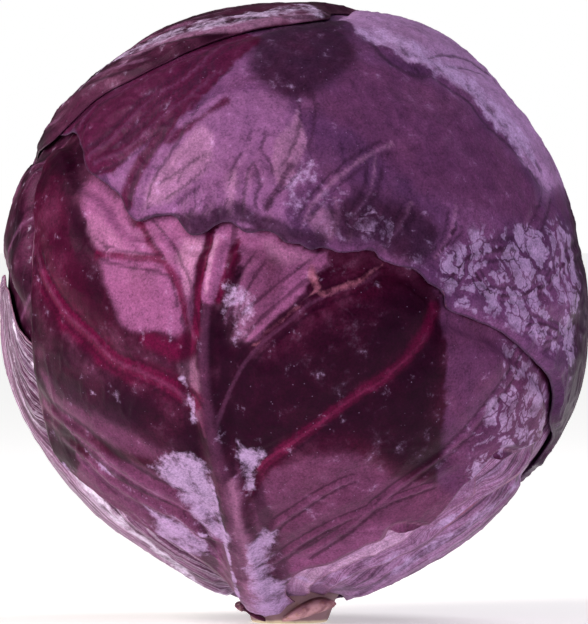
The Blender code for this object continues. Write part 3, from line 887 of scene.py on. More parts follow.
capLeaf = {
    "name": "capLeaf",
    "replaces": "cap_leaf",
    "seed": 5,
    "rows": 270,
    "columns": 144,
    "crowdTip": 0.6,
    "ragged": (0.3, 0.3, 0.45),
    "lift": 0.45,
    "footReach": 14.0,
    "left": route(
        around((146, -80), (150, -50), (156, -20), (166, 10), (-176, 34), (-130, 44)), seen((52, 130)),
    ),
    "mid": route(
        around((120, -80), (118, -45), (112, -10), (100, 25), (80, 50), (45, 52), (20, 32)),
        seen((300, 243)),
    ),
    "right": route(around((112, -80), (115, -60), (108, -45), (97, -36)), seen((536, 468))),
    "tipLeft": seen(
        (52, 130), (75, 135), (79, 147), (88, 170), (100, 180), (118, 195), (127, 212), (133, 219),
        (159, 214), (173, 214), (180, 224), (189, 234), (209, 230), (216, 224), (230, 221), (247, 232),
        (262, 230), (276, 234), (283, 241), (300, 243),
    ),
    "tipRight": seen(
        (300, 243), (310, 249), (327, 247), (337, 251), (359, 250), (374, 249), (379, 257), (398, 266),
        (418, 270), (429, 282), (445, 292), (447, 306), (470, 318), (496, 329), (516, 341), (535, 359),
        (553, 383), (556, 398), (553, 419), (553, 444), (546, 456), (536, 468),
    ),
    "rib": {
        "to": 0.8, "width": (4.0, 0.9), "height": (2.2, 0.4), "tone": 0.1, "fadeIn": 6.0, "fadeOut": 30.0,
    },
    "veins": [
        vein(1.1, 0.8, 0.1, (392, 143), (385, 147), (365, 157), (338, 177), (318, 197), (305, 217),
             (300, 232)),
        vein(1.1, 0.46, 0.1, (303, 88), (308, 110), (305, 133), (291, 163), (280, 180), (270, 190)),
        vein(1.1, 0.56, 0.1, (376, 158), (371, 190), (355, 217), (350, 240)),
        vein(1.1, 0.52, 0.1, (412, 202), (408, 212), (395, 233), (384, 250)),
        vein(1.1, 0.46, 0.1, (335, 197), (340, 213), (331, 237)),
        vein(1.1, 0.52, 0.1, (457, 205), (455, 217), (451, 233), (437, 257)),
        vein(1.2, 0.96, 0.0, (549, 188), (545, 209), (533, 231), (521, 250)),
        vein(1.5, 0.96, 1.0, (521, 248), (495, 250), (475, 255), (461, 265), (453, 277), (447, 292)),
        vein(1.2, 0.74, 1.0, (581, 247), (565, 263), (541, 287), (518, 295), (488, 290), (473, 267),
             (466, 260)),
        vein(1.1, 0.65, 1.0, (460, 217), (451, 237), (435, 257), (426, 264)),
        vein(1.1, 0.56, 0.9, (535, 257), (541, 273), (546, 284)),
        vein(1.1, 0.56, 0.8, (500, 296), (492, 306), (486, 318)),
        vein(1.1, 0.56, 0.8, (522, 326), (541, 324), (556, 330), (566, 337), (577, 325)),
        vein(1.1, 0.46, 0.8, (538, 347), (555, 338), (565, 337)),
        vein(1.6, 1.1, 0.0, (83, 160), (110, 140), (150, 100), (187, 77), (213, 53), (247, 32), (300, 15)),
        vein(1.6, 1.1, 0.0, (75, 132), (103, 92), (140, 66), (173, 52), (213, 40), (250, 30)),
        vein(1.6, 1.1, 0.0, (90, 165), (125, 150), (160, 118), (195, 92), (230, 62)),
        vein(1.6, 1.1, 0.0, (62, 128), (90, 104), (120, 84), (160, 62), (200, 47)),
        vein(1.6, 1.2, 0.2, (136, 214), (143, 180), (166, 144), (186, 112), (203, 92)),
        vein(1.2, 0.8, 0.2, (177, 213), (202, 192), (214, 184)),
        vein(1.3, 0.7, 0.2, (157, 193), (183, 177), (207, 160), (222, 158)),
        vein(1.3, 0.9, 0.2, (232, 222), (235, 193), (240, 170), (253, 147), (262, 120)),
        vein(1.2, 0.7, 0.2, (206, 226), (214, 204), (222, 190)),
        vein(1.2, 0.8, 0.0, (270, 190), (261, 162), (247, 147)),
        vein(1.1, 0.56, 0.3, (263, 213), (267, 190), (273, 187), (287, 177), (300, 147)),
        vein(2.2, 0.96, 0.0, (380, 40), (405, 63), (428, 67), (448, 80), (475, 100), (488, 117),
             (518, 145), (548, 190)),
    ],
    "paint": {
        # Painted light on the cap's lit planes, and thin lines of light along raised ridges
        "blush": [
            patch(12, 1.0, (136, 220), (145, 182), (165, 142), (192, 114), (215, 98), (240, 94),
                  (262, 92), (292, 108), (306, 135), (296, 170), (282, 200), (292, 238), (262, 230),
                  (232, 224), (205, 232), (190, 234), (176, 216), (150, 218)),
            patch(8, 0.75, (112, 152), (135, 132), (165, 120), (158, 140), (143, 170), (134, 208),
                  (118, 192), (106, 174)),
            stroke(4, 0.9, (78, 140), (100, 118), (130, 98), (160, 78), (196, 58), (226, 44)),
            stroke(4, 0.8, (66, 122), (96, 92), (126, 72), (160, 56)),
            stroke(4, 0.8, (300, 15), (250, 29), (220, 38), (190, 50), (160, 62)),
        ],
        # Painted highlights on the cap's lit planes and along its raised veins
        "sheen": [
            patch(14, 0.8, (138, 210), (150, 180), (176, 148), (202, 126), (214, 150), (192, 180),
                  (162, 204)),
            patch(8, 0.6, (220, 190), (234, 170), (240, 198), (230, 216)),
            patch(5, 0.8, (298, 108), (306, 135), (296, 165), (284, 184), (272, 170), (277, 140)),
            stroke(3, 0.6, (392, 143), (365, 157), (338, 177), (318, 197), (305, 217), (300, 232)),
            stroke(3, 0.6, (376, 158), (371, 190), (355, 217), (350, 240)),
            stroke(3, 0.6, (412, 202), (408, 212), (395, 233), (384, 250)),
            stroke(3, 0.6, (335, 197), (340, 213), (331, 237)),
            stroke(3, 0.6, (457, 205), (455, 217), (451, 233), (437, 257)),
            patch(10, 0.6, (308, 216), (324, 206), (338, 214), (334, 234), (318, 240)),
        ],
        # Darker patches of the blade; the strokes along the lower margin and the wide patch on the right are
        # painted shade
        "dark": [
            patch(34, 1.0, (345, 24), (354, 60), (312, 94), (275, 90), (250, 66), (256, 36),
                  beyond=((-70, 80), (20, 82))),
            patch(30, 0.8, (355, 190), (400, 200), (440, 225), (425, 262), (380, 246), (340, 240),
                  (330, 215)),
            stroke(13, 0.85, (180, 222), (200, 224), (230, 214), (258, 222), (290, 232), (320, 240)),
            stroke(5, 0.9, (140, 221), (160, 216), (176, 216), (190, 234), (210, 230), (250, 230),
                   (284, 240)),
            patch(90, 1.0, (569, 215), (573, 270), (570, 330), (557, 410), (540, 455),
                  beyond=((110, -34), (132, 0), (118, 28))),
            stroke(5, 0.8, (290, 165), (278, 188), (266, 206)),
        ],
        "crimson": [
            patch(10, 1.0, (52, 128), (76, 100), (110, 70), (150, 48), (200, 34), (250, 26), (256, 44),
                  (232, 66), (206, 92), (186, 112), (160, 130), (132, 150), (112, 172), (94, 172),
                  (80, 150), (76, 134)),
            # Painted shade on the left side of a fold
            stroke(9, 0.85, (122, 204), (138, 168), (160, 134), (190, 96)),
            stroke(6, 0.7, (168, 140), (196, 122), (226, 104)),
        ],
        "bloomed": [
            # Painted light on the strip along the upper right outline, lit from above and behind
            patch(22, 0.8, (345, 24), (395, 34), (430, 50), (464, 72), (498, 106), (528, 142), (540, 172),
                  (518, 150), (488, 119), (475, 102), (448, 82), (428, 69), (405, 65), (388, 49),
                  (360, 40)),
            patch(17, 0.4, (296, 160), (312, 150), (316, 180), (306, 212), (292, 224), (286, 200)),
        ],
        "islands": [
            patch(26, 1.0, (432, 264), (455, 240), (470, 226), (500, 220), (540, 222), (566, 224),
                  (576, 262), (575, 330), (566, 378), (556, 362), (530, 342), (500, 324), (470, 312),
                  (452, 297), (441, 284)),
            patch(16, 0.5, (298, 226), (312, 190), (340, 186), (372, 200), (410, 222), (436, 245),
                  (424, 266), (380, 248), (340, 240)),
        ],
        "purple": [
            patch(30, 0.7, (345, 60), (400, 68), (470, 115), (520, 170), (545, 215), (470, 210),
                  (420, 190), (370, 150), (320, 110)),
        ],
        # Painted light: the strip along the upper right outline, lit from above and behind, fading round
        # past the outline
        "mauve": [
            patch(6, 1.0, (551, 188), (521, 157), (518, 145), (488, 117), (475, 100), (448, 80),
                  (428, 67), (405, 63), (388, 47), (360, 36), (345, 22),
                  beyond=((96, 76), (99, 62), (102, 48), (99, 36), (95, 27))),
            patch(80, 0.85, (546, 188), (514, 134), (468, 84), (410, 44),
                  beyond=((110, 78), (130, 64), (128, 42), (106, 26))),
        ],
        "torn": [
            stroke(1.6, 0.8, (417, 270), (430, 284), (446, 294), (447, 306)),
            stroke(2, 0.8, (392, 262), (398, 266), (404, 268)),
        ],
    },
    "colours": {
        "deep": "#4e2c52", "main": "#70426f", "blush": "#7f507e", "crimson": "#44082a", "vein": "#3a1c36",
        "mauve": "#a880b0", "dark": "#2b152a", "rim": "#3f2c40", "bloom": "#a98bb8", "sheen": "#98698f",
    },
    "wax": {"base": -0.02, "painted": 0.34},
    "relief": {"Wrinkle Height": 1.4, "Wrinkle Size": 11.0, "Net Height": 0.3, "Net Size": 6.5},
}
capLeaf["veins"] += pinnate(capLeaf, (0.05, 0.13, 0.22, 0.31), 0.2, 2.8, 0.8, 0.3)

frontLeaf = {
    "name": "frontLeaf",
    "replaces": "front_leaf",
    "seed": 11,
    "rows": 258,
    "columns": 132,
    "ragged": (0.35, 0.5, 0.0),
    "lift": 0.7,
    "footReach": 17.0,
    "left": route(
        around((-62, -80)),
        seen((222, 581), (182, 550), (134, 520), (96, 493), (57, 456), (38, 405), (31, 343), (30, 272),
             (33, 218), (45, 160)),
        around((-62, 48), (-40, 58)),
    ),
    "mid": route(
        around((-32, -80.5), (-26, -70)),
        seen((243, 560), (232, 500), (215, 440), (205, 380), (205, 330), (212, 280), (218, 240)),
        around((-16, 30), (-17, 45), (-18, 58)),
    ),
    "right": route(
        around((-1, -80)),
        seen((286, 594), (290, 582), (306, 571), (331, 566), (355, 554), (370, 546), (382, 543), (395, 527),
             (402, 525), (415, 525), (429, 527), (448, 508), (465, 486), (484, 468), (494, 455), (520, 452),
             (540, 440), (553, 428)),
        around((76, -8), (70, 12), (55, 32), (28, 48)),
    ),
    "rib": {
        "to": 0.86, "width": (6.4, 1.0), "height": (5.6, 1.1), "tone": 0.0, "fadeIn": 3.0, "fadeOut": 12.0,
    },
    "veins": [
        vein(1.2, 0.3, 0.65, (253, 478), (264, 463), (287, 448), (321, 423), (351, 400), (385, 378),
             (408, 357), (428, 333), (436, 310), (444, 292)),
        vein(1.2, 0.5, 0.1, (214, 440), (222, 410), (231, 388), (246, 361), (262, 343), (288, 322),
             (308, 305), (331, 294), (356, 286), (378, 274), (396, 264)),
        vein(1.5, 0.8, 0.35, (208, 440), (200, 415), (178, 392), (147, 374), (112, 358), (92, 338),
             (68, 316), (52, 292), (42, 268), (37, 240)),
        vein(1.2, 1, 0.3, (196, 345), (188, 315), (181, 288), (170, 256), (152, 232), (134, 212)),
        vein(1.2, 0.7, 0.2, (186, 310), (176, 272), (150, 262), (117, 257), (97, 248), (84, 232)),
        vein(1.2, 0.93, 0.2, (222, 330), (236, 295), (252, 268), (268, 246)),
        vein(1.2, 0.81, 0.2, (228, 345), (250, 318), (275, 296), (300, 276), (318, 262), (330, 255)),
        vein(1.0, 1.2, 0.2, (262, 545), (280, 522), (296, 511), (321, 494), (342, 483), (368, 474)),
        vein(1.0, 1.2, 0.2, (270, 568), (300, 545), (338, 523), (372, 509), (400, 497), (445, 480)),
        vein(1.2, 1, 0.1, (300, 560), (350, 527), (398, 487), (448, 450), (476, 422), (496, 396),
             (521, 360), (532, 340)),
        vein(2.4, 2, 0.2, (220, 546), (203, 518), (182, 502), (153, 487), (115, 462), (86, 437),
             (57, 416), (38, 397)),
        vein(2.2, 1.9, 0.2, (210, 543), (184, 520), (138, 497), (115, 483), (80, 451), (55, 435)),
    ],
    "paint": {
        # Painted light: lit upper planes, the lower pleats' ridges and a lighter lower right margin
        "blush": [
            patch(16, 1.0, (78, 182), (90, 178), (112, 196), (132, 222), (150, 216), (172, 214),
                  (190, 234), (200, 234), (198, 262), (192, 292), (190, 330), (182, 336), (160, 330),
                  (118, 322), (112, 300), (104, 275), (97, 252), (84, 215)),
            patch(4, 0.95, (213, 228), (236, 222), (230, 255), (221, 290), (212, 302), (204, 300),
                  (207, 262)),
            stroke(5, 0.8, (226, 566), (190, 534), (150, 512), (110, 486), (78, 456)),
            stroke(5, 0.6, (222, 540), (184, 508), (140, 484), (100, 458), (70, 428)),
            patch(30, 0.6, (286, 586), (331, 564), (382, 542), (402, 526), (372, 524), (336, 544),
                  (286, 560)),
            patch(8, 0.85, (238, 228), (262, 232), (300, 245), (328, 254), (316, 276), (292, 302),
                  (270, 322), (252, 342), (238, 346), (230, 330), (232, 290), (240, 262)),
        ],
        # Painted highlights on lit planes and the rib, a paler lower rib and a soft lilac haze beside it
        "sheen": [
            patch(10, 0.4, (90, 210), (112, 228), (124, 246), (160, 257), (128, 254), (98, 250),
                  (86, 230)),
            stroke(4, 0.9, (215, 234), (211, 262), (207, 292)),
            stroke(9, 0.55, (264, 600), (250, 570), (240, 520), (231, 480)),
            patch(16, 0.4, (222, 290), (244, 288), (254, 320), (244, 346), (230, 346), (222, 320)),
            patch(14, 0.4, (196, 420), (184, 385), (178, 360), (198, 356), (202, 400)),
            patch(12, 0.7, (180, 236), (198, 240), (192, 280), (186, 300), (178, 262)),
            patch(12, 0.4, (262, 238), (300, 248), (316, 256), (290, 268), (266, 260)),
        ],
        # Darker patches of the blade, and painted shade along the rib, beside it and inside the lit planes
        "dark": [
            patch(18, 0.6, (58, 160), (72, 176), (84, 215), (96, 252), (104, 300), (92, 320), (74, 280),
                  (62, 220)),
            patch(26, 0.9, (50, 350), (110, 385), (165, 415), (196, 440), (205, 470), (150, 440),
                  (95, 415), (55, 385)),
            patch(34, 0.95, (250, 380), (310, 330), (350, 305), (420, 295), (436, 310), (436, 400),
                  (438, 470), (400, 470), (350, 430), (290, 440), (256, 450), (240, 420)),
            stroke(7, 0.95, (222, 318), (224, 380), (214, 415), (226, 445), (232, 470)),
            stroke(9, 0.95, (207, 312), (206, 345), (206, 380), (215, 430), (225, 475)),
            stroke(9, 0.55, (225, 475), (236, 532), (244, 570)),
            stroke(5, 0.9, (240, 268), (232, 300), (226, 330)),
            patch(14, 0.42, (242, 246), (266, 248), (286, 264), (284, 290), (262, 322), (246, 336),
                  (238, 290)),
            stroke(10, 0.7, (226, 310), (236, 350), (246, 380), (240, 420)),
        ],
        "crimson": [
            stroke(15, 0.9, (190, 400), (178, 392), (147, 374), (112, 358), (92, 338), (68, 316),
                   (45, 280)),
            stroke(9, 0.6, (251, 487), (287, 448), (351, 400), (408, 357), (436, 310)),
            stroke(12, 0.7, (190, 335), (180, 350), (150, 340)),
            # Painted shadow under the cap's margin
            stroke(5, 0.7, (136, 222), (148, 242), (160, 256)),
            # Painted shade along a fold and a groove
            stroke(5, 0.8, (97, 254), (130, 257), (163, 262), (176, 280), (186, 322)),
            # Painted shadow down both sides of the rib
            stroke(5, 1.0, (206, 234), (201, 268), (197, 300), (196, 330)),
            stroke(5, 1.0, (236, 240), (228, 268), (219, 300)),
            patch(20, 0.22, (44, 160), (64, 180), (74, 240), (92, 290), (104, 330), (70, 330), (42, 290),
                  (34, 220)),
        ],
        "bloomed": [
            patch(24, 1.0, (154, 466), (190, 452), (205, 462), (216, 500), (222, 540), (205, 530),
                  (180, 500)),
            patch(24, 1.0, (146, 506), (178, 520), (205, 545), (200, 556), (176, 545), (160, 530)),
            patch(17, 1.0, (238, 443), (262, 452), (258, 470), (248, 500), (242, 480)),
            patch(22, 1.0, (246, 536), (270, 532), (272, 575), (292, 585), (270, 604), (250, 580)),
            patch(17, 0.5, (222, 284), (238, 284), (252, 312), (246, 342), (232, 350), (222, 320)),
            stroke(5, 0.5, (182, 380), (190, 400), (194, 425)),
            # Painted highlights: the rib's lit left edge, the lower left margin and a pleat's ridge
            stroke(3.5, 1.0, (212, 480), (219, 510), (226, 540), (236, 575), (246, 603)),
            stroke(5, 0.8, (226, 588), (180, 552), (134, 522), (96, 494), (66, 462)),
            stroke(3, 0.6, (205, 536), (160, 505), (120, 482), (84, 448)),
        ],
        "islands": [
            patch(22, 0.8, (506, 336), (532, 352), (552, 385), (555, 425), (528, 450), (500, 456),
                  (470, 486), (462, 462), (478, 420), (498, 385)),
        ],
        "purple": [
            patch(10, 1.0, (444, 290), (470, 316), (500, 328), (540, 362), (557, 400), (555, 430),
                  (520, 454), (494, 457), (470, 482), (452, 508), (442, 500), (441, 440), (443, 360)),
        ],
        "mauve": [
            patch(26, 1.0, (255, 500), (268, 470), (300, 462), (350, 452), (400, 480), (440, 485),
                  (452, 505), (429, 529), (395, 530), (370, 548), (330, 570), (295, 588), (270, 570),
                  (256, 530)),
            stroke(14, 0.9, (268, 606), (246, 560), (236, 510), (228, 470)),
            patch(20, 0.75, (44, 372), (90, 392), (140, 422), (194, 446), (150, 456), (100, 436),
                  (58, 412)),
            patch(20, 1.0, (96, 450), (160, 474), (204, 500), (228, 545), (234, 592), (180, 550),
                  (134, 520), (80, 474)),
        ],
        "torn": [
            stroke(5, 0.65, (312, 266), (314, 282), (322, 293), (340, 288), (358, 282), (372, 272),
                   (384, 264)),
            stroke(3, 0.6, (316, 292), (300, 304), (284, 319), (268, 332), (254, 345)),
            stroke(1.6, 0.9, (370, 545), (385, 541), (398, 525), (414, 525)),
            stroke(1.6, 0.9, (494, 455), (480, 470), (468, 490)),
        ],
    },
    "wax": {"base": -0.02, "painted": 0.34},
}

lowerRightFlap = {
    "name": "lowerRightFlap",
    "replaces": "lower_right_flap",
    "seed": 17,
    "ragged": (0.0, 0.6, 0.0),
    "lift": 0.8,
    "footReach": 14.0,
    "left": around((-12, -80), (-8, -66), (4, -54), (22, -40), (40, -32)),
    "mid": around((2, -80), (8, -66), (28, -53), (43, -43), (50, -32)),
    "right": route(
        around((12, -80)),
        seen((318, 584), (345, 572), (380, 556), (412, 540), (440, 524), (462, 508), (476, 498), (480, 486),
             (486, 472), (492, 463)),
    ),
    "rib": {"width": (2.0, 0.8), "height": (1.0, 0.3), "tone": 0.3, "fadeIn": 4.0},
    "paint": {
        # Painted highlight along the margin, in the wax colour
        "bloomed": [stroke(4, 0.8, (300, 586), (350, 574), (400, 551), (450, 520))],
        "purple": [patch(24, 0.9, (436, 545), (470, 520), (504, 480), (504, 450), (470, 478), (442, 512))],
        "torn": [stroke(2.5, 1.0, (468, 519), (480, 490), (492, 463))],
    },
    "colours": {"deep": "#c08cba", "main": "#e4bade", "dark": "#84507a"},
    "wax": {"base": 0.06, "painted": 0.2, "streaks": 0.54},
}
lowerRightFlap["veins"] = lengthwise(
    lowerRightFlap, ((-0.3, -0.4), (0.3, 0.3), (0.6, 0.65), (0.85, 0.9)), 1.1, 0.9, 0.1,
)

lowerLeftLeaf = {
    "name": "lowerLeftLeaf",
    "replaces": "lower_left_leaf",
    "seed": 19,
    "ragged": (0.4, 0.4, 0.3),
    "lift": 0.8,
    "footReach": 14.0,
    "left": around((-90, -80), (-105, -62), (-116, -42), (-113, -18), (-102, -2), (-91, 5), (-83, 6)),
    "mid": around((-66, -80), (-72, -62), (-80, -42), (-85, -22), (-84, -7), (-80, 4)),
    "right": around((-24, -80), (-28, -58), (-38, -40), (-47, -27), (-57, -16), (-67, -6), (-76, 3)),
    "rib": {"width": (3.0, 0.9), "height": (1.6, 0.4)},
    "paint": {
        # Painted highlights along the outline and on the ridges of the folds, in the wax colour
        "bloomed": [
            stroke(13, 1.0, (50, 450), (100, 506), (160, 552), (215, 590), (236, 603)),
            stroke(3, 0.9, (6, 290), (14, 330), (28, 372), (44, 410)),
            stroke(3, 0.9, (8, 340), (22, 385), (45, 430)),
        ],
        # Painted light along a ridge of the leaf
        "blush": [stroke(8, 0.8, (10, 310), (22, 360), (48, 425), (95, 480))],
        "dark": [patch(16, 0.5, (2, 276), (34, 276), (44, 380), (78, 440), (60, 462), (22, 400), (4, 340))],
    },
    "colours": {
        "deep": "#6e3f62", "main": "#9a6c92", "blush": "#b294b8", "bloom": "#d4c6de", "dark": "#34122a",
    },
    "wax": {"base": 0.0, "painted": 0.25, "streaks": 0.52},
}
lowerLeftLeaf["veins"] = lengthwise(
    lowerLeftLeaf, ((-0.75, -0.8), (-0.4, -0.45), (0.3, 0.3), (0.55, 0.6), (0.8, 0.85)), 1.4, 0.6, 0.1,
)

rightLeaf = {
    "name": "rightLeaf",
    "replaces": "right_leaf",
    "seed": 23,
    "ragged": (0.3, 0.5, 0.3),
    "lift": 0.7,
    "left": around((0, -80), (8, -62), (26, -38), (42, -12), (54, 14), (70, 30)),
    "mid": around((14, -80), (24, -62), (44, -45), (60, -26), (70, 0), (76, 30)),
    "right": route(
        around((34, -80)),
        seen((334, 592), (360, 577), (400, 561), (430, 546), (448, 532), (467, 516), (499, 491), (525, 472),
             (548, 440)),
        around((80, -10), (86, 4), (84, 28)),
    ),
    "rib": {"width": (2.6, 0.9), "height": (1.4, 0.4)},
    "paint": {
        # Painted highlight along the margin, in the wax colour
        "bloomed": [stroke(4, 0.8, (300, 596), (350, 582), (430, 540), (500, 488))],
        "torn": [stroke(3, 0.9, (448, 532), (467, 516), (499, 491), (525, 472))],
    },
    "colours": {"deep": "#7d4f74", "main": "#a87aa4", "dark": "#3c1a36"},
    "wax": {"base": 0.04, "painted": 0.2, "streaks": 0.5},
}
rightLeaf["veins"] = lengthwise(
    rightLeaf, ((-0.5, -0.55), (0.3, 0.3), (0.55, 0.6), (0.8, 0.85)), 1.3, 0.9, 0.1,
)

leftLeaf = {
    "name": "leftLeaf",
    "replaces": "left_leaf",
    "seed": 29,
    "ragged": (0.4, 0.4, 0.0),
    "lift": 0.6,
    "left": around((-118, -80), (-135, -50), (-142, -15), (-132, 20), (-108, 44), (-82, 52)),
    "mid": around((-90, -80), (-90, -50), (-91, -15), (-86, 20), (-74, 52)),
    "right": around((-70, -80), (-52, -50), (-46, -15), (-44, 15), (-52, 40), (-66, 52)),
    "rib": {"width": (3.4, 0.9), "height": (2.0, 0.4)},
    "paint": {
        "dark": [stroke(12, 0.9, (30, 160), (22, 200), (14, 260), (20, 300))],
        # Painted highlights: thin lines of light along the leaf, in the wax colour
        "bloomed": [
            stroke(3, 0.9, (34, 160), (20, 200), (14, 250), (12, 290)),
            stroke(2, 0.9, (28, 200), (24, 260)),
        ],
    },
    "colours": {"deep": "#2a0a1e", "main": "#4a1c38", "bloom": "#b8a6c4", "vein": "#7d4d72"},
    "wax": {"base": -0.02, "painted": 0.2, "streaks": 0.38},
}
leftLeaf["veins"] = pinnate(leftLeaf, (0.06, 0.14, 0.24, 0.35, 0.47, 0.6, 0.74), 0.26, 2.0, 0.7, 0.45)

rightBackLeaf = {
    "name": "rightBackLeaf",
    "replaces": "right_back_leaf",
    "seed": 31,
    "ragged": (0.3, 0.6, 0.3),
    "lift": 0.7,
    "left": around((14, -79), (18, -64), (38, -44), (54, -24), (71, 4), (91, 22)),
    "mid": around((54, -79), (62, -60), (78, -40), (91, -15), (97, 22)),
    "right": around((94, -79), (100, -62), (114, -42), (120, -15), (114, 8), (103, 22)),
    "rib": {"width": (3.0, 0.9), "height": (1.8, 0.4)},
    "paint": {"bloomed": [stroke(10, 0.8, (400, 572), (470, 525), (530, 475))]},
    "colours": {"deep": "#7a4c74", "main": "#a478a2", "dark": "#3c1a36"},
    "wax": {"base": 0.04, "painted": 0.2, "streaks": 0.48},
}
rightBackLeaf["veins"] = lengthwise(
    rightBackLeaf, ((-0.6, -0.6), (-0.3, -0.3), (0.3, 0.3), (0.6, 0.6), (0.82, 0.85)), 1.3, 0.6, 0.2,
)

backLeaf = {
    "name": "backLeaf",
    "replaces": "back_leaf",
    "seed": 37,
    "ragged": (0.4, 0.4, 0.0),
    "lift": 0.6,
    "left": around((206, -79), (215, -55), (226, -20), (224, 15), (208, 42), (182, 54)),
    "mid": around((176, -79), (176, -50), (174, -10), (174, 30), (175, 56)),
    "right": around((140, -79), (136, -55), (126, -20), (126, 15), (142, 42), (168, 54)),
    "rib": {"width": (4.0, 1.2), "height": (2.2, 0.6), "tone": 0.6},
    "paint": {},
    "colours": {"deep": "#3a1630", "main": "#653a5a", "vein": "#9a6a90"},
    "wax": {"base": 0.04, "painted": 0.2, "streaks": 0.42},
}
backLeaf["veins"] = pinnate(backLeaf, (0.05, 0.12, 0.2, 0.3, 0.41, 0.53, 0.66, 0.8), 0.26, 2.3, 0.8, 0.5)

# From the outermost in, since each is pressed on by those before it
leaves = [
    crownLeaf, capLeaf, frontLeaf, lowerRightFlap, lowerLeftLeaf, rightLeaf, leftLeaf, rightBackLeaf,
    backLeaf,
]
relief = {
    "Pillow Height": 1.1,
    "Pillow Width": 8.0,
    "Lump Height": 0.9,
    "Lump Size": 40.0,
    "Wrinkle Height": 0.9,
    "Wrinkle Size": 15.0,
    "Net Height": 0.16,
    "Net Size": 8.0,
}

reliefTree = pressedLeafRelief()
for ownValues in leaves:
    leaf = {**leafDefaults, **ownValues}
    ways = leafWays(leaf)
    shell = leafShell(leaf, ways)
    skin = leafSkin(leaf["name"] + "Skin", {**skinColours, **leaf["colours"]}, leaf["wax"])
    growRelief(shell, veinNetwork(leaf), reliefTree, {**relief, **leaf["relief"]}, skin, leaf["seed"])
    coverTables.append(coverTable(ways))
    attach(shell, "root")
    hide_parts(leaf["replaces"])
    print("leaf laid:", leaf["name"], len(shell.data.polygons), "faces")


innerHead = {"columns": 96, "rows": 48, "lowest": 16.6, "gap": 0.6}


def innerMass():
    # The inner leaves as one mass: a closed ball pressed in under every leaf, cut flat above the stalk
    rings, columns = innerHead["rows"] - 1, innerHead["columns"]
    lat = np.linspace(-90.0, 90.0, rings + 2)[1:-1]
    lon = np.linspace(-180.0, 180.0, columns, endpoint=False)
    lonGrid, latGrid = np.meshgrid(lon, lat)
    ways = around(*np.stack([lonGrid.ravel(), latGrid.ravel()], axis=1))
    ways = np.concatenate([ways, [[0.0, 0.0, -1.0], [0.0, 0.0, 1.0]]])
    places = head["centre"] + ways * (pressedRadius(ways)[0] - innerHead["gap"])[:, None]
    places[:, 2] = np.maximum(places[:, 2], innerHead["lowest"])
    return meshObject("innerHead", places, turnedFaces(rings, columns))


def innerLeavesSkin():
    # Inner leaves: paler and pinker than the outer ones, with fine lighter veins and no wax
    innerMaterial, tree = startSkin("innerLeavesSkin")
    place = addNode(tree, "ShaderNodeTexCoord").outputs["Object"]
    cloud = addNode(tree, "ShaderNodeTexNoise", {"Vector": place, "Scale": 60.0, "Detail": 4.0})
    cells = {"Vector": place, "Scale": 160.0}
    net = addNode(tree, "ShaderNodeTexVoronoi", cells, feature="DISTANCE_TO_EDGE")
    net = addNode(tree, "ShaderNodeMapRange", {0: net, 1: 0.08, 2: 0.02})
    skin = {0: cloud, 6: hexColour("#4a1836"), 7: hexColour("#8a4a72")}
    skin = addNode(tree, "ShaderNodeMix", skin, data_type="RGBA")
    skin = addNode(tree, "ShaderNodeMix", {0: net, 6: skin, 7: hexColour("#b98aa6")}, data_type="RGBA")
    gloss = addNode(tree, "ShaderNodeMapRange", {0: cloud, 3: 0.4, 4: 0.55})
    finishSkin(tree, skin, gloss, net, 0.3, 0.4, 0.3)
    return innerMaterial


innerBall = innerMass()
innerBall.data.materials.append(innerLeavesSkin())
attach(innerBall, "root")
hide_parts("inner_head")
print("inner leaves laid")


stalk = {
    "columns": 96,
    # Radius and height up its side, from the middle of the cut face to the middle of its hidden top
    "profile": [
        (0, 0.35), (2.5, 0.3), (5.0, 0.1), (7.5, 0.0), (9.8, 0.0), (10.3, 0.15), (10.7, 0.7), (11.1, 1.6),
        (11.6, 3.0), (12.2, 4.6), (12.8, 6.2), (14.5, 8.6), (19.0, 11.0), (25.0, 13.5), (26.0, 16.0),
        (10.0, 16.0), (0, 16.0),
    ],
    "lobes": (3, 0.012),  # how many make it out of round, and the share of its radius that they take off
    "grooves": (11, 0.01),  # how many run down its side, and their share
    "pith": 5.6,  # radius of the cream pith on the cut face
    "ring": 9.2,  # and of the woody ring round it
}


def cutStalk():
    # Turned about the upright axis, a little out of round and split by shallow grooves down its side
    columns = stalk["columns"]
    lobes, lobeDepth = stalk["lobes"]
    grooves, grooveDepth = stalk["grooves"]
    turn = 2.0 * np.pi * np.arange(columns) / columns
    bottom, *rings, top = stalk["profile"]
    places = []
    for radius, height in rings:
        outOfRound = lobeDepth * (1.0 + np.sin(lobes * turn + 0.4))
        grooved = grooveDepth * (1.0 + np.sin(grooves * turn)) * (height > 1.0)
        out = radius * (1.0 - outOfRound - grooved)
        places.extend(np.stack([out * np.sin(turn), -out * np.cos(turn), np.full(columns, height)], axis=1))
    places.extend([(0.0, 0.0, bottom[1]), (0.0, 0.0, top[1])])
    return meshObject("cutStalk", np.array(places), turnedFaces(len(rings), columns))


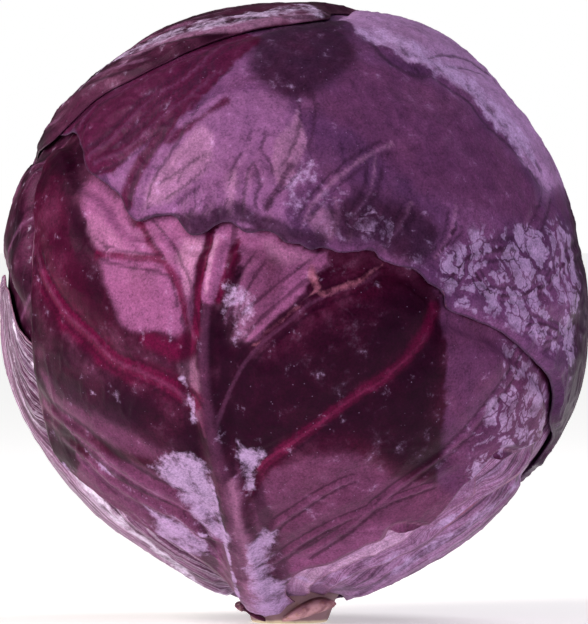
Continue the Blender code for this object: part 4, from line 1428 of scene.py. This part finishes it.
def cutStalkSkin():
    # A cut cabbage stalk: cream pith, a woody ring, a pink rind that browns where it has dried
    stalkMaterial, tree = startSkin("cutStalkSkin")
    place = addNode(tree, "ShaderNodeTexCoord").outputs["Object"]
    # Millimetres from the stalk's axis and up from the cut face, both strayed by the stains
    away = addNode(
        tree, "ShaderNodeVectorMath", {0: place, 1: (1 / metre, 1 / metre, 0.0)}, operation="MULTIPLY",
    )
    away = addNode(tree, "ShaderNodeVectorMath", {0: away}, operation="LENGTH").outputs["Value"]
    fibres = addNode(tree, "ShaderNodeTexNoise", {"Vector": place, "Scale": 900.0, "Detail": 4.0})
    stains = addNode(tree, "ShaderNodeTexNoise", {"Vector": place, "Scale": 220.0, "Detail": 4.0})
    spread = addNode(tree, "ShaderNodeMath", {0: stains, 1: 2.4, 2: away}, operation="MULTIPLY_ADD")
    upSide = addNode(tree, "ShaderNodeSeparateXYZ", {0: place}).outputs["Z"]
    upSide = addNode(tree, "ShaderNodeMath", {0: upSide, 1: 1 / metre, 2: stains}, operation="MULTIPLY_ADD")
    skin = hexColour("#d9c9a8")
    # Ring, rind of the cut face, rind of the side and stains: the colour, what it follows, from, to
    layers = (
        ("#c5ae86", spread, stalk["pith"] + 0.6, stalk["pith"] + 1.6),
        ("#dccdb4", spread, stalk["ring"] + 0.4, stalk["ring"] + 1.2),
        ("#7d4e6a", upSide, 0.8, 1.6),
        ("#8a6a4a", stains, 0.55, 0.72),
    )
    for colour, value, low, high in layers:
        mask = addNode(tree, "ShaderNodeMapRange", {0: value, 1: low, 2: high, 4: 0.8}, **smooth)
        skin = addNode(tree, "ShaderNodeMix", {0: mask, 6: skin, 7: hexColour(colour)}, data_type="RGBA")
    gloss = addNode(tree, "ShaderNodeMapRange", {0: fibres, 3: 0.5, 4: 0.75})
    finishSkin(tree, skin, gloss, fibres, 0.3, 0.6, 0.25)
    return stalkMaterial


stalkPiece = cutStalk()
stalkPiece.data.materials.append(cutStalkSkin())
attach(stalkPiece, "root")
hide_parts("stalk")
print("stalk cut")


leafStubs = {
    "columns": 60,
    "inner": 12.8,  # radius of the neck that they grow from
    "lowest": 0.6,
    "ends": 0.12,  # the share of its reach and depth that a stub still has at its two ends
    "uneven": 0.12,  # how much its outer edge goes in and out, as a share of its reach
    "unevenSize": 2.2,  # and over what length
    # The span in degrees of longitude, the reach from the stalk's axis, how far its two ends are raised
    "pieces": [
        {
            # Its rind colours are far darker than the other stubs', to paint the shade it lies in
            "name": "leafStubLeft", "replaces": "cut_leaf_stub_left", "span": (-74, -30), "reach": 16.4,
            "climb": (4.2, 0.0), "depth": 1.8, "colours": ("#2f0f20", "#58243f", "#8a5a6c"),
        },
        {
            "name": "leafStubRight", "replaces": "cut_leaf_stub_right", "span": (-8, 66), "reach": 18.2,
            "climb": (0.0, 3.4), "depth": 3.8, "colours": ("#8f5c66", "#c99aa0", "#a97c5c"),
        },
        {
            "name": "leafStubBack", "replaces": "cut_leaf_stub_back", "span": (204, 262), "reach": 18.0,
            "climb": (1.0, 2.0), "depth": 3.0, "colours": ("#5a2f44", "#96667c", "#cdb0a8"),
        },
    ],
}


def cutLeafStub(stub):
    # What is left of a leaf that was cut away: a curved lip round the neck, thin at its ends and uneven
    columns = leafStubs["columns"]
    share = np.linspace(0.0, 1.0, columns + 1)
    lon = np.radians(np.interp(share, (0, 1), stub["span"]))
    ends = leafStubs["ends"]
    fullness = ends + (1.0 - ends) * np.sin(np.pi * share) ** 0.8
    spots = np.stack([np.sin(lon), -np.cos(lon), np.zeros(columns + 1)], axis=1) * 16.0
    rough = fractal(spots, leafStubs["unevenSize"], stub["span"][0], 3)
    inner = leafStubs["inner"]
    out = inner + (stub["reach"] - inner) * fullness * (1.0 + leafStubs["uneven"] * (rough - 1.0))
    low = leafStubs["lowest"] + stub["climb"][0] + (stub["climb"][1] - stub["climb"][0]) * smoothStep(share)
    rise = stub["depth"] * fullness
    # Radius and height round the lip's section, from the neck out below and back above
    sections = [
        (inner + 0 * out, low + 0.5 * (1.0 - fullness)),
        (0.6 * inner + 0.4 * out, low + 0.1 * rise),
        (0.25 * inner + 0.75 * out, low + 0.35 * rise),
        (out, low + 0.68 * rise),
        (out - 0.15, low + 0.85 * rise),
        (out - 0.5, low + 0.97 * rise),
        (0.5 * (inner + out), low + 1.1 * rise),
        (inner + 0 * out, low + 1.05 * rise + 0.6),
    ]
    sides = len(sections)
    places = np.stack(
        [np.stack([r * np.sin(lon), -r * np.cos(lon), z], axis=1) for r, z in sections], axis=1,
    ).reshape(-1, 3)
    faces = []
    for i in range(columns):
        for k in range(sides):
            a, b = i * sides + k, i * sides + (k + 1) % sides
            faces.append((a, a + sides, b + sides, b))
    faces.append(tuple(range(sides)))
    faces.append(tuple(range(columns * sides, (columns + 1) * sides))[::-1])
    return meshObject(stub["name"], places, faces)


def cutLeafStubSkin(stub):
    # A leaf base's rind, paler and brown where the knife went through and the flesh dried
    stubMaterial, tree = startSkin(stub["name"] + "Skin")
    place = addNode(tree, "ShaderNodeTexCoord").outputs["Object"]
    fibres = addNode(tree, "ShaderNodeTexNoise", {"Vector": place, "Scale": 700.0, "Detail": 4.0})
    stains = addNode(tree, "ShaderNodeTexNoise", {"Vector": place, "Scale": 260.0, "Detail": 5.0})
    deep, main, dry = (hexColour(code) for code in stub["colours"])
    tone = addNode(tree, "ShaderNodeMapRange", {0: stains, 1: 0.38, 2: 0.6}, **smooth)
    skin = addNode(tree, "ShaderNodeMix", {0: tone, 6: deep, 7: main}, data_type="RGBA")
    mask = addNode(tree, "ShaderNodeMapRange", {0: fibres, 1: 0.55, 2: 0.7, 4: 0.7})
    skin = addNode(tree, "ShaderNodeMix", {0: mask, 6: skin, 7: dry}, data_type="RGBA")
    gloss = addNode(tree, "ShaderNodeMapRange", {0: fibres, 3: 0.45, 4: 0.7})
    finishSkin(tree, skin, gloss, fibres, 0.2, 0.6, 0.25)
    return stubMaterial


for stub in leafStubs["pieces"]:
    piece = cutLeafStub(stub)
    piece.data.materials.append(cutLeafStubSkin(stub))
    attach(piece, "root")
    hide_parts(stub["replaces"])
print("leaf stubs cut")


studio = {
    "floorRadius": 9.0,
    "floor": "#f4f2f0",
    # The glow under the head is seen by every ray and lights the head from below
    "floorGlow": (0.4, 0.8),  # under the head and far from it, so that the paper stays evenly white
    "glowReach": (0.35, 1.2),  # the distances from the head, in metres, between which it changes
    "backdrop": 1.0,
    "skyLight": 0.1,
    "shining": ("keyLight",),  # the others only fill in, without a gleam of their own
    # Name, direction from the head's centre, distance, width and height in metres, watts, colour
    "lights": [
        ("keyLight", (-0.74, -0.38, 0.62), 1.1, (0.45, 0.35), 7.8, "#fff8f2"),
        ("frontFill", (0.50, -0.72, 0.48), 1.2, (0.9, 0.7), 2.2, "#f6f2ff"),
        ("lowFill", (0.55, -0.83, -0.03), 1.0, (0.7, 0.1), 2.2, "#f6f2ff"),
        ("sideLight", (-0.80, -0.58, 0.10), 0.9, (0.35, 0.3), 4.0, "#fff8f2"),
        ("topLight", (0.45, 0.35, 0.82), 1.1, (0.6, 0.5), 5.5, "#fbf6ff"),
        ("leftRimLight", (-0.70, 0.74, 0.10), 0.9, (0.3, 0.9), 2.0, "#ffffff"),
    ],
}


def studioFloor():
    # A wide pale disc that the cut stalk stands on
    sides = 96
    turn = 2.0 * np.pi * np.arange(sides) / sides
    rim = np.stack([np.cos(turn), np.sin(turn), np.zeros(sides)], axis=1) * studio["floorRadius"] / metre
    floor = meshObject("studioFloor", rim, [tuple(range(sides))])
    paper = bpy.data.materials.new("palePaper")
    paper.use_nodes = True
    tree = paper.node_tree
    shader = tree.nodes["Principled BSDF"]
    shader.inputs["Base Color"].default_value = hexColour(studio["floor"])
    shader.inputs["Roughness"].default_value = 0.9
    shader.inputs["Specular IOR Level"].default_value = 0.1
    shader.inputs["Emission Color"].default_value = (1.0, 1.0, 1.0, 1.0)
    # Seen from the camera it glows like lit paper. Under the head it glows for every ray, so it also lights
    # the head from below; further out it glows for the other rays only as much as the sky
    near, far = studio["floorGlow"]
    start, end = studio["glowReach"]
    place = addNode(tree, "ShaderNodeTexCoord").outputs["Object"]
    away = addNode(tree, "ShaderNodeVectorMath", {0: place}, operation="LENGTH").outputs["Value"]
    isSeen = addNode(tree, "ShaderNodeLightPath").outputs["Is Camera Ray"]
    far = addNode(tree, "ShaderNodeMapRange", {0: isSeen, 3: studio["skyLight"], 4: far})
    glow = addNode(tree, "ShaderNodeMapRange", {0: away, 1: start, 2: end, 3: near, 4: far})
    tree.links.new(glow.outputs[0], shader.inputs["Emission Strength"])
    floor.data.materials.append(paper)
    return floor


def softLight(name, way, distance, size, watts, colour):
    # A soft box that faces the head's centre
    lamp = bpy.data.lights.new(name, "AREA")
    lamp.shape = "RECTANGLE"
    lamp.size, lamp.size_y = size
    lamp.energy = watts
    lamp.color = hexColour(colour)[:3]
    obj = bpy.data.objects.new(name, lamp)
    aim = Vector(way).normalized()
    obj.location = Vector(head["centre"] * metre) + aim * distance
    obj.rotation_euler = aim.to_track_quat("Z", "Y").to_euler()
    obj.visible_glossy = name in studio["shining"]
    bpy.context.scene.collection.objects.link(obj)


studioFloor()
for light in studio["lights"]:
    softLight(*light)
world = bpy.data.worlds.new("softStudio")
world.use_nodes = True
background = world.node_tree.nodes["Background"]
background.inputs["Color"].default_value = (1.0, 1.0, 1.0, 1.0)
isSeen = addNode(world.node_tree, "ShaderNodeLightPath").outputs["Is Camera Ray"]
glow = addNode(
    world.node_tree, "ShaderNodeMapRange", {0: isSeen, 3: studio["skyLight"], 4: studio["backdrop"]},
)
world.node_tree.links.new(glow.outputs[0], background.inputs["Strength"])
bpy.context.scene.world = world

# The camera fits the photo's height at the head's distance
camera = bpy.data.cameras.new("photoCamera")
camera.sensor_width = 36.0
camera.lens = camera.sensor_width * view["distance"] / (view["photoHeight"] * view["mmPerPixel"])
camera.clip_end = 50.0
cameraObject = bpy.data.objects.new("photoCamera", camera)
backWay = viewAxes()[2]
cameraObject.location = Vector((viewTarget() + backWay * view["distance"]) * metre)
cameraObject.rotation_euler = Vector(backWay).to_track_quat("Z", "Y").to_euler()
bpy.context.scene.collection.objects.link(cameraObject)
bpy.context.scene.camera = cameraObject
bpy.context.scene.view_settings.view_transform = "Standard"
print("studio lit")
